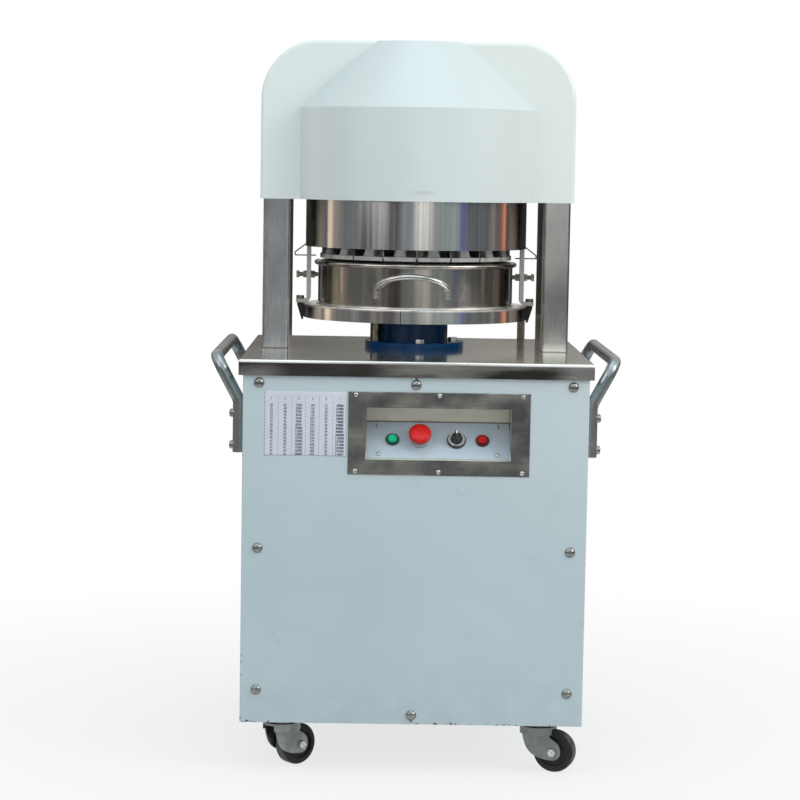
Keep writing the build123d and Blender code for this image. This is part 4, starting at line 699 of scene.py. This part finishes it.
# Painted shade: the barrel under the tray is darker than the flange.
barrel_shade = reach(tree, along(tree, "Z"), *flange_top, 0.0, 0.6)
paint(tree, shader, tint(tree, barrel_shade, flange_blue, (0.001, 0.012, 0.045)), spread(tree, coat, 0.16, 0.32))
dent(tree, shader, speckle(tree, 220.0, 2.0), 0.12, 0.0006)
dress(navy_paint, "lift_cylinder")

flange_steel, tree, shader = start_finish("flange_steel", (0.5, 0.48, 0.45), 1.0, 0.3)
stain = speckle(tree, 60.0, 5.0)
brown = shades(tree, stain, (0.35, (0.10, 0.075, 0.05)), (0.65, (0.36, 0.32, 0.26)))
bright = shades(tree, stain, (0.35, (0.75, 0.75, 0.74)), (0.65, (0.95, 0.95, 0.94)))
on_stud = fade(tree, along(tree, "X"), *stud_side)
paint(tree, shader, tint(tree, on_stud, bright, brown), spread(tree, stain, 0.42, 0.2))
dress(flange_steel, "flange_bolts")

# Tray: a pressed stainless disc with a rolled skirt, polished in upright streaks and duller at the rim.
# The skirt is welded shut in front, and the lift ram below carries the tray.
seam_x, seam_half, seam_front = 0.029, (0.0004, 0.0012), (-0.15, -0.149)
seam_top, rim_start = (table_top + 0.0788, table_top + 0.079), (table_top + 0.0768, table_top + 0.078)
turned_steel, tree, shader = start_finish("turned_steel", (0.62, 0.61, 0.59), 1.0, 0.14)
streak = speckle(tree, 36.0, 4.0, (1.0, 1.0, 0.02))
tone = shades(
    tree, streak, (0.32, (0.52, 0.505, 0.48)), (0.5, (0.72, 0.705, 0.675)), (0.68, (0.86, 0.85, 0.82))
)
seam = fade(tree, figure(tree, "ABSOLUTE", plus(tree, along(tree, "X"), seam_x)), *seam_half)
seam = times(tree, seam, fade(tree, along(tree, "Y"), *seam_front))
seam = times(tree, seam, fade(tree, along(tree, "Z"), *seam_top))
on_rim = reach(tree, along(tree, "Z"), *rim_start, 0.0, 0.22)
rough = plus(tree, spread(tree, streak, 0.1, 0.2), on_rim)
paint(tree, shader, tint(tree, seam, tone, (0.10, 0.09, 0.085)), rough)
dent(tree, shader, speckle(tree, 12.0, 2.0), 0.08, 0.002)
dress(turned_steel, "tray")
dress(column_steel, "lift_ram")

# Straps: flat bars in worn white paint, bolted to the tray each side to hold the pan; black brackets below.
# Bolts with lock nuts centre the pan, and bent spring wires clip over its rim.
strap_white = mottled(
    "strap_white",
    ((0.62, 0.60, 0.55), 0.0, 0.4),
    (90.0, 5.0),
    ((0.28, (0.36, 0.35, 0.32)), (0.36, (0.86, 0.845, 0.80)), (0.7, (0.95, 0.935, 0.89))),
    (0.32, 0.52),
    ((90.0, 5.0), 0.1, 0.0003),
)
dress(strap_white, "straps")
black_paint = mottled(
    "black_paint",
    ((0.012, 0.012, 0.012), 0.0, 0.5),
    (110.0, 4.0),
    ((0.4, (0.008, 0.008, 0.008)), (0.75, (0.05, 0.047, 0.045))),
    (0.38, 0.6),
)
dress(black_paint, "strap_brackets")
dull_steel = mottled(
    "dull_steel",
    ((0.3, 0.29, 0.27), 1.0, 0.35),
    (260.0, 4.0),
    ((0.35, (0.12, 0.115, 0.095)), (0.65, (0.35, 0.34, 0.30))),
    (0.42, 0.26),
)
dress(dull_steel, "strap_bolts", "centring_bolts", "wire_clips", "guide_bar")


def threads(starts, ends, radius, pitch, depth, sides=28, per_turn=6):
    """Screw threads between pairs of points: the radius rises and falls once per pitch along a helix."""
    starts, ends = np.array(starts), np.array(ends)
    length = np.linalg.norm(ends[0] - starts[0])
    axis = (ends[0] - starts[0]) / length
    rings = int(length / pitch * per_turn) + 1
    side = np.cross(axis, (0.0, 1.0, 0.0) if abs(axis[1]) < 0.9 else (1.0, 0.0, 0.0))
    side = side / np.linalg.norm(side)
    other = np.cross(axis, side)
    way, angle = np.meshgrid(
        np.linspace(0, length, rings), np.arange(sides) * 2 * np.pi / sides, indexing="ij"
    )
    phase = (way / pitch - angle / (2 * np.pi)) % 1.0
    ring = radius - depth * np.abs(2 * phase - 1)
    one = way[..., None] * axis + ring[..., None] * (
        np.cos(angle)[..., None] * side + np.sin(angle)[..., None] * other
    )
    points = starts[:, None, None, :] + one
    faces = quads(len(starts), rings, sides).tolist()
    first = (np.arange(len(starts)) * rings)[:, None] * sides + np.arange(sides)[::-1]
    last = (np.arange(len(starts)) * rings + rings - 1)[:, None] * sides + np.arange(sides)
    return points, faces + first.tolist() + last.tolist()


head_y, bolt_height = 0.055, table_top + 0.135
thread_radius, thread_pitch, thread_depth = 0.0044, 0.00125, 0.0008
for name, side in (("left_centring", -1), ("right_centring", 1)):
    for part, start, end in (("thread", 0.1862, 0.1904), ("tail", 0.2131, 0.2204)):
        start_place, end_place = [(side * x, head_y, bolt_height) for x in (start, end)]
        points, faces = threads([start_place], [end_place], thread_radius, thread_pitch, thread_depth)
        new_piece(f"{name}_{part}", points, faces, dull_steel, "tray")

# Pan: a spun stainless pan with a rolled rim, stained by use, that is drawn out of the straps by hand.
# A bow handle of bent rod is held in front by riveted lugs.
pan_steel, tree, shader = start_finish("pan_steel", (0.6, 0.55, 0.49), 1.0, 0.16)
streak = speckle(tree, 30.0, 4.0, (1.0, 1.0, 0.03))
clouds = speckle(tree, 14.0, 5.0)
tone = shades(
    tree, streak, (0.32, (0.29, 0.27, 0.24)), (0.5, (0.42, 0.395, 0.355)), (0.68, (0.56, 0.53, 0.49))
)
tone = tint(tree, reach(tree, clouds, 0.5, 0.72, 0.0, 0.4), tone, (0.46, 0.40, 0.33))
rough = plus(tree, spread(tree, streak, 0.1, 0.2), reach(tree, clouds, 0.5, 0.75, 0.0, 0.14))
paint(tree, shader, tone, rough)
dent(tree, shader, speckle(tree, 16.0, 2.0), 0.1, 0.002)
dress(pan_steel, "pan")
bow_steel = mottled(
    "bow_steel",
    ((0.7, 0.68, 0.64), 1.0, 0.25),
    (24.0, 4.0),
    ((0.3, (0.34, 0.33, 0.31)), (0.65, (0.60, 0.59, 0.57))),
    (0.28, 0.16),
)
dress(bow_steel, "pan_handle")
dress(bolt_steel, "pan_rivets")

# Press head: thirty-six moulded pads on posts under a steel plate, with a knife frame between them.
# A ram and cylinder press the plate, and two smaller cylinders drive the knives.
pad_grey = mottled(
    "pad_grey",
    ((0.52, 0.53, 0.52), 0.0, 0.5),
    (60.0, 5.0),
    ((0.35, (0.42, 0.43, 0.42)), (0.65, (0.56, 0.57, 0.56))),
    (0.36, 0.58),
    ((600.0, 2.0), 0.1, 0.0003),
)
dress(pad_grey, "outer_pads", "middle_pads", "inner_pads")
shade_steel = mottled(
    "shade_steel",
    ((0.4, 0.39, 0.38), 1.0, 0.36),
    (50.0, 5.0),
    ((0.35, (0.24, 0.23, 0.22)), (0.65, (0.46, 0.45, 0.44))),
    (0.46, 0.3),
)
dress(shade_steel, "press_plate", "press_ram", "knife_frame", "knife_rods")
dress(grey_primer, "press_cylinder", "knife_cylinders")

# Drum: rolled stainless sheet round the press head, hung from the head beam.
# It is polished in broad and fine upright streaks.
drum_steel, tree, shader = start_finish("drum_steel", (0.66, 0.65, 0.64), 1.0, 0.12)
streak = speckle(tree, 42.0, 5.0, (1.0, 1.0, 0.015))
fine = speckle(tree, 260.0, 3.0, (1.0, 1.0, 0.01))
tone = shades(
    tree, streak, (0.3, (0.40, 0.385, 0.38)), (0.48, (0.62, 0.61, 0.60)), (0.68, (0.80, 0.795, 0.78))
)
tone = tint(tree, reach(tree, fine, 0.5, 0.75, 0.0, 0.35), tone, (0.34, 0.33, 0.33))
paint(tree, shader, tone, plus(tree, spread(tree, streak, 0.07, 0.16), spread(tree, fine, 0.0, 0.1)))
dent(tree, shader, plus(tree, fine, times(tree, streak, 4.0)), 0.06, 0.0003)
dress(drum_steel, "drum")

# Hood: a moulded cover over the head and the column tops, in off-white gloss paint.
# Its cheeks carry painted light, the front a small patch of painted shade, and the lower rim small chips.
front_shade_place, front_shade_spread = (0.01, -0.185, table_top + 0.294), (0.28, 0.0, 1.6)
cheek_front, hood_rim = (-0.045, -0.0442), (table_top + 0.278, table_top + 0.286)
hood_paint, tree, shader = start_finish("hood_paint", (0.62, 0.69, 0.69), 0.0, 0.24)
coat = shades(tree, speckle(tree, 5.0), (0.3, (0.615, 0.682, 0.675)), (0.7, (0.635, 0.70, 0.692)))
# Painted light: the cheeks are lighter than the front.
cheek_light = tint(tree, reach(tree, along(tree, "X"), -0.1, 0.1), (0.80, 0.87, 0.855), (0.81, 0.855, 0.815))
coat = tint(tree, reach(tree, along(tree, "Y"), *cheek_front, 0.0, 0.52), coat, cheek_light)
# Painted shade: a dark bluish patch low on the front.
from_front_shade = from_axis(tree, front_shade_place, (0.0, 0.0, 0.0), front_shade_spread)
front_shade = times(tree, fade(tree, from_front_shade, 0.002, 0.009, 0.5), fade(tree, along(tree, "Y"), 0.0, 0.01))
coat = tint(tree, front_shade, coat, (0.48, 0.47, 0.58))
chips = reach(tree, speckle(tree, 60.0, 4.0), 0.66, 0.74)
chipped = times(tree, fade(tree, along(tree, "Z"), *hood_rim), chips)
coat = tint(tree, chipped, coat, (0.30, 0.31, 0.31))
paint(tree, shader, coat, spread(tree, speckle(tree, 8.0, 2.0), 0.22, 0.27))
dent(tree, shader, speckle(tree, 120.0, 1.0), 0.03, 0.0003)
dress(hood_paint, "hood")

# Studio: a pale floor that runs into a white surround, three soft lamps and the photograph's camera.
# A ring of dull and bright cards, seen only in reflections, gives the polished metal something to mirror.


def backdrop_share(tree):
    """1 for rays from the camera, a mirror or glass, and 0 for the light that falls on the object."""
    path = tree.nodes.new("ShaderNodeLightPath")
    seen = figure(tree, "MAXIMUM", path.outputs["Is Camera Ray"], path.outputs["Is Glossy Ray"])
    return figure(tree, "MAXIMUM", seen, path.outputs["Is Transmission Ray"])


floor_half, floor_pale = 30.0, (0.4, 1.7)
floor_mesh = bpy.data.meshes.new("floor")
floor_corners = np.array([(-1, -1, 0), (1, -1, 0), (1, 1, 0), (-1, 1, 0)]) * floor_half
floor_mesh.from_pydata(floor_corners.tolist(), [], [(0, 1, 2, 3)])
floor = bpy.data.objects.new("floor", floor_mesh)
bpy.context.scene.collection.objects.link(floor)
floor_finish, tree, shader = start_finish("floor_finish", (0.7, 0.7, 0.7), 0.0, 0.9)
shader.inputs["Specular IOR Level"].default_value = 0.0
white = tree.nodes.new("ShaderNodeEmission")
white.inputs["Color"].default_value = (1.0, 1.0, 1.0, 1.0)
blend = tree.nodes.new("ShaderNodeMixShader")
away = from_axis(tree, (0.0, 0.0, 0.0), (0.0, 0.0, 0.0), (1.0, 1.0, 0.0))
paleness = times(tree, reach(tree, away, *floor_pale, 0.75, 1.0), backdrop_share(tree))
tree.links.new(paleness, blend.inputs[0])
tree.links.new(shader.outputs["BSDF"], blend.inputs[1])
tree.links.new(white.outputs["Emission"], blend.inputs[2])
tree.links.new(blend.outputs["Shader"], tree.nodes["Material Output"].inputs["Surface"])
floor_mesh.materials.append(floor_finish)

world = bpy.data.worlds.new("surroundings")
world.use_nodes = True
sky = world.node_tree.nodes["Background"]
sky.inputs["Color"].default_value = (1.0, 1.0, 1.0, 1.0)
sky_level = reach(world.node_tree, backdrop_share(world.node_tree), 0.0, 1.0, 0.62, 1.0)
world.node_tree.links.new(sky_level, sky.inputs["Strength"])
bpy.context.scene.world = world


def soft_step(value, middle, width):
    """Smooth rise from 0 to 1 around a middle, over a width."""
    share = np.clip((value - middle) / width + 0.5, 0.0, 1.0)
    return share * share * (3 - 2 * share)


def card(turn, middle, half_width, edge=3.0):
    """Weight of one upright card at an angle round the studio, in degrees, with soft edges."""
    return soft_step(turn, middle - half_width, edge) * (1 - soft_step(turn, middle + half_width, edge))


def lay(glow, weight, tone):
    """Glow with a tone laid over it: the share of the tone is the weight at each point."""
    return glow * (1 - weight[..., None]) + weight[..., None] * np.array(tone)


ring_radius, ring_inside, ring_top, ring_lift = 5.2, 1.5, 2.4, 0.004
way, turn = np.meshgrid(np.linspace(0, 1, 160), np.linspace(-180, 180, 721), indexing="ij")
floor_run = ring_radius - ring_inside
walk = way * (floor_run + ring_top)
reach_out = np.minimum(ring_inside + walk, ring_radius)
height = np.maximum(walk - floor_run, 0.0) + ring_lift
ring_points = np.stack(
    (reach_out * np.sin(np.radians(turn)), -reach_out * np.cos(np.radians(turn)), height), axis=-1
)
window_card = (7.5, 9.0, (0.36, 0.37, 0.37))
glow = np.ones(height.shape + (3,)) * (0.30, 0.32, 0.34)
for middle, half_width, tone in (
    (-104, 8.0, (1.25, 1.02, 0.78)),
    (-90, 5.5, (0.32, 0.28, 0.26)),
    (-73, 13.0, (0.20, 0.215, 0.22)),
    (-52, 7.0, (0.07, 0.08, 0.075)),
    (-43, 2.5, (0.22, 0.23, 0.24)),
    (-38, 2.5, (0.09, 0.045, 0.04)),
    (-27, 7.0, (0.11, 0.105, 0.11)),
    (-19, 2.0, (0.08, 0.055, 0.06)),
    (-10, 7.0, (0.26, 0.29, 0.31)),
    window_card,
    (32, 13.0, (0.30, 0.36, 0.365)),
    (48, 3.0, (0.15, 0.17, 0.42)),
    (65, 13.0, (0.13, 0.15, 0.16)),
    (80, 4.0, (0.08, 0.08, 0.08)),
    (85.6, 1.2, (0.5, 0.48, 0.42)),
    (93, 6.0, (0.09, 0.085, 0.09)),
    (105, 5.0, (1.1, 0.36, 0.16)),
):
    glow = lay(glow, card(turn, middle, half_width), tone)
window_sill, ground_top, sky_foot, wall_foot = 0.73, 0.40, 1.75, 1.045
window = card(turn, *window_card[:2]) * soft_step(height, window_sill, 0.10)
glow = lay(glow, window, (1.1, 1.09, 1.04))
back_light = 0.36 - 0.16 * soft_step(np.where(turn < 0, turn + 180, turn - 180), 0.0, 9.0)
lit_wall = back_light[..., None] * np.array((1.0, 0.97, 0.90))
back_wall = np.where(height[..., None] > wall_foot, lit_wall, np.array((0.03, 0.026, 0.024)))
glow = lay(glow, soft_step(np.abs(turn), 115, 5), back_wall)
glow = lay(glow, 1 - soft_step(height, ground_top, 0.10), (0.16, 0.155, 0.15))
glow = lay(glow, soft_step(height, sky_foot, 0.5), (1.0, 1.0, 1.0))
ring_mesh = bpy.data.meshes.new("card_ring")
ring_mesh.from_pydata(ring_points.reshape(-1, 3).tolist(), [], grid_faces(height.shape))
tones = ring_mesh.attributes.new("tone", "FLOAT_COLOR", "POINT")
tones.data.foreach_set("color", np.concatenate((glow, np.ones(height.shape + (1,))), axis=-1).ravel())
card_finish, tree, _ = start_finish("card_finish", (0.5, 0.5, 0.5))
card_tone = tree.nodes.new("ShaderNodeAttribute")
card_tone.attribute_name = "tone"
card_light = tree.nodes.new("ShaderNodeEmission")
tree.links.new(card_tone.outputs["Color"], card_light.inputs["Color"])
tree.links.new(card_light.outputs["Emission"], tree.nodes["Material Output"].inputs["Surface"])
ring_mesh.materials.append(card_finish)
cards = bpy.data.objects.new("card_ring", ring_mesh)
bpy.context.scene.collection.objects.link(cards)
cards.visible_camera = False
cards.visible_diffuse = False
cards.visible_shadow = False
cards.visible_transmission = False

lamp_aim = Vector((0, 0, 0.7))
for name, place, power, size, tone in (
    ("key_lamp", (3.7, -2.3, 2.9), 92.0, 2.4, (1.0, 0.985, 0.955)),
    ("fill_lamp", (-2.8, -2.8, 2.2), 22.0, 2.4, (1.0, 1.0, 1.0)),
    ("top_lamp", (0.0, -1.4, 4.4), 44.0, 3.0, (0.62, 0.85, 1.0)),
):
    lamp = bpy.data.lights.new(name, "AREA")
    lamp.energy = power
    lamp.size = size
    lamp.color = tone
    lamp_object = bpy.data.objects.new(name, lamp)
    bpy.context.scene.collection.objects.link(lamp_object)
    lamp_object.location = place
    lamp_object.rotation_euler = (lamp_aim - Vector(place)).to_track_quat("-Z", "Y").to_euler()

camera_place = Vector((-0.06806, -4.41855, 1.06225))
yaw, pitch, roll = math.radians(0.55), math.radians(5.43), math.radians(0.96)
focal_pixels, picture_pixels, sensor_width = 2349.29, 800.0, 36.0
ahead = Vector((math.sin(yaw) * math.cos(pitch), math.cos(yaw) * math.cos(pitch), -math.sin(pitch)))
level_right = Vector((math.cos(yaw), -math.sin(yaw), 0.0))
level_up = level_right.cross(ahead)
right = level_right * math.cos(roll) + level_up * math.sin(roll)
up = level_up * math.cos(roll) - level_right * math.sin(roll)
lens = bpy.data.cameras.new("camera")
lens.sensor_width = sensor_width
lens.lens = focal_pixels * sensor_width / picture_pixels
camera = bpy.data.objects.new("camera", lens)
bpy.context.scene.collection.objects.link(camera)
camera.matrix_world = Matrix(
    (
        (right.x, up.x, -ahead.x, camera_place.x),
        (right.y, up.y, -ahead.y, camera_place.y),
        (right.z, up.z, -ahead.z, camera_place.z),
        (0.0, 0.0, 0.0, 1.0),
    )
)
bpy.context.scene.camera = camera
bpy.context.scene.view_settings.view_transform = "Standard"
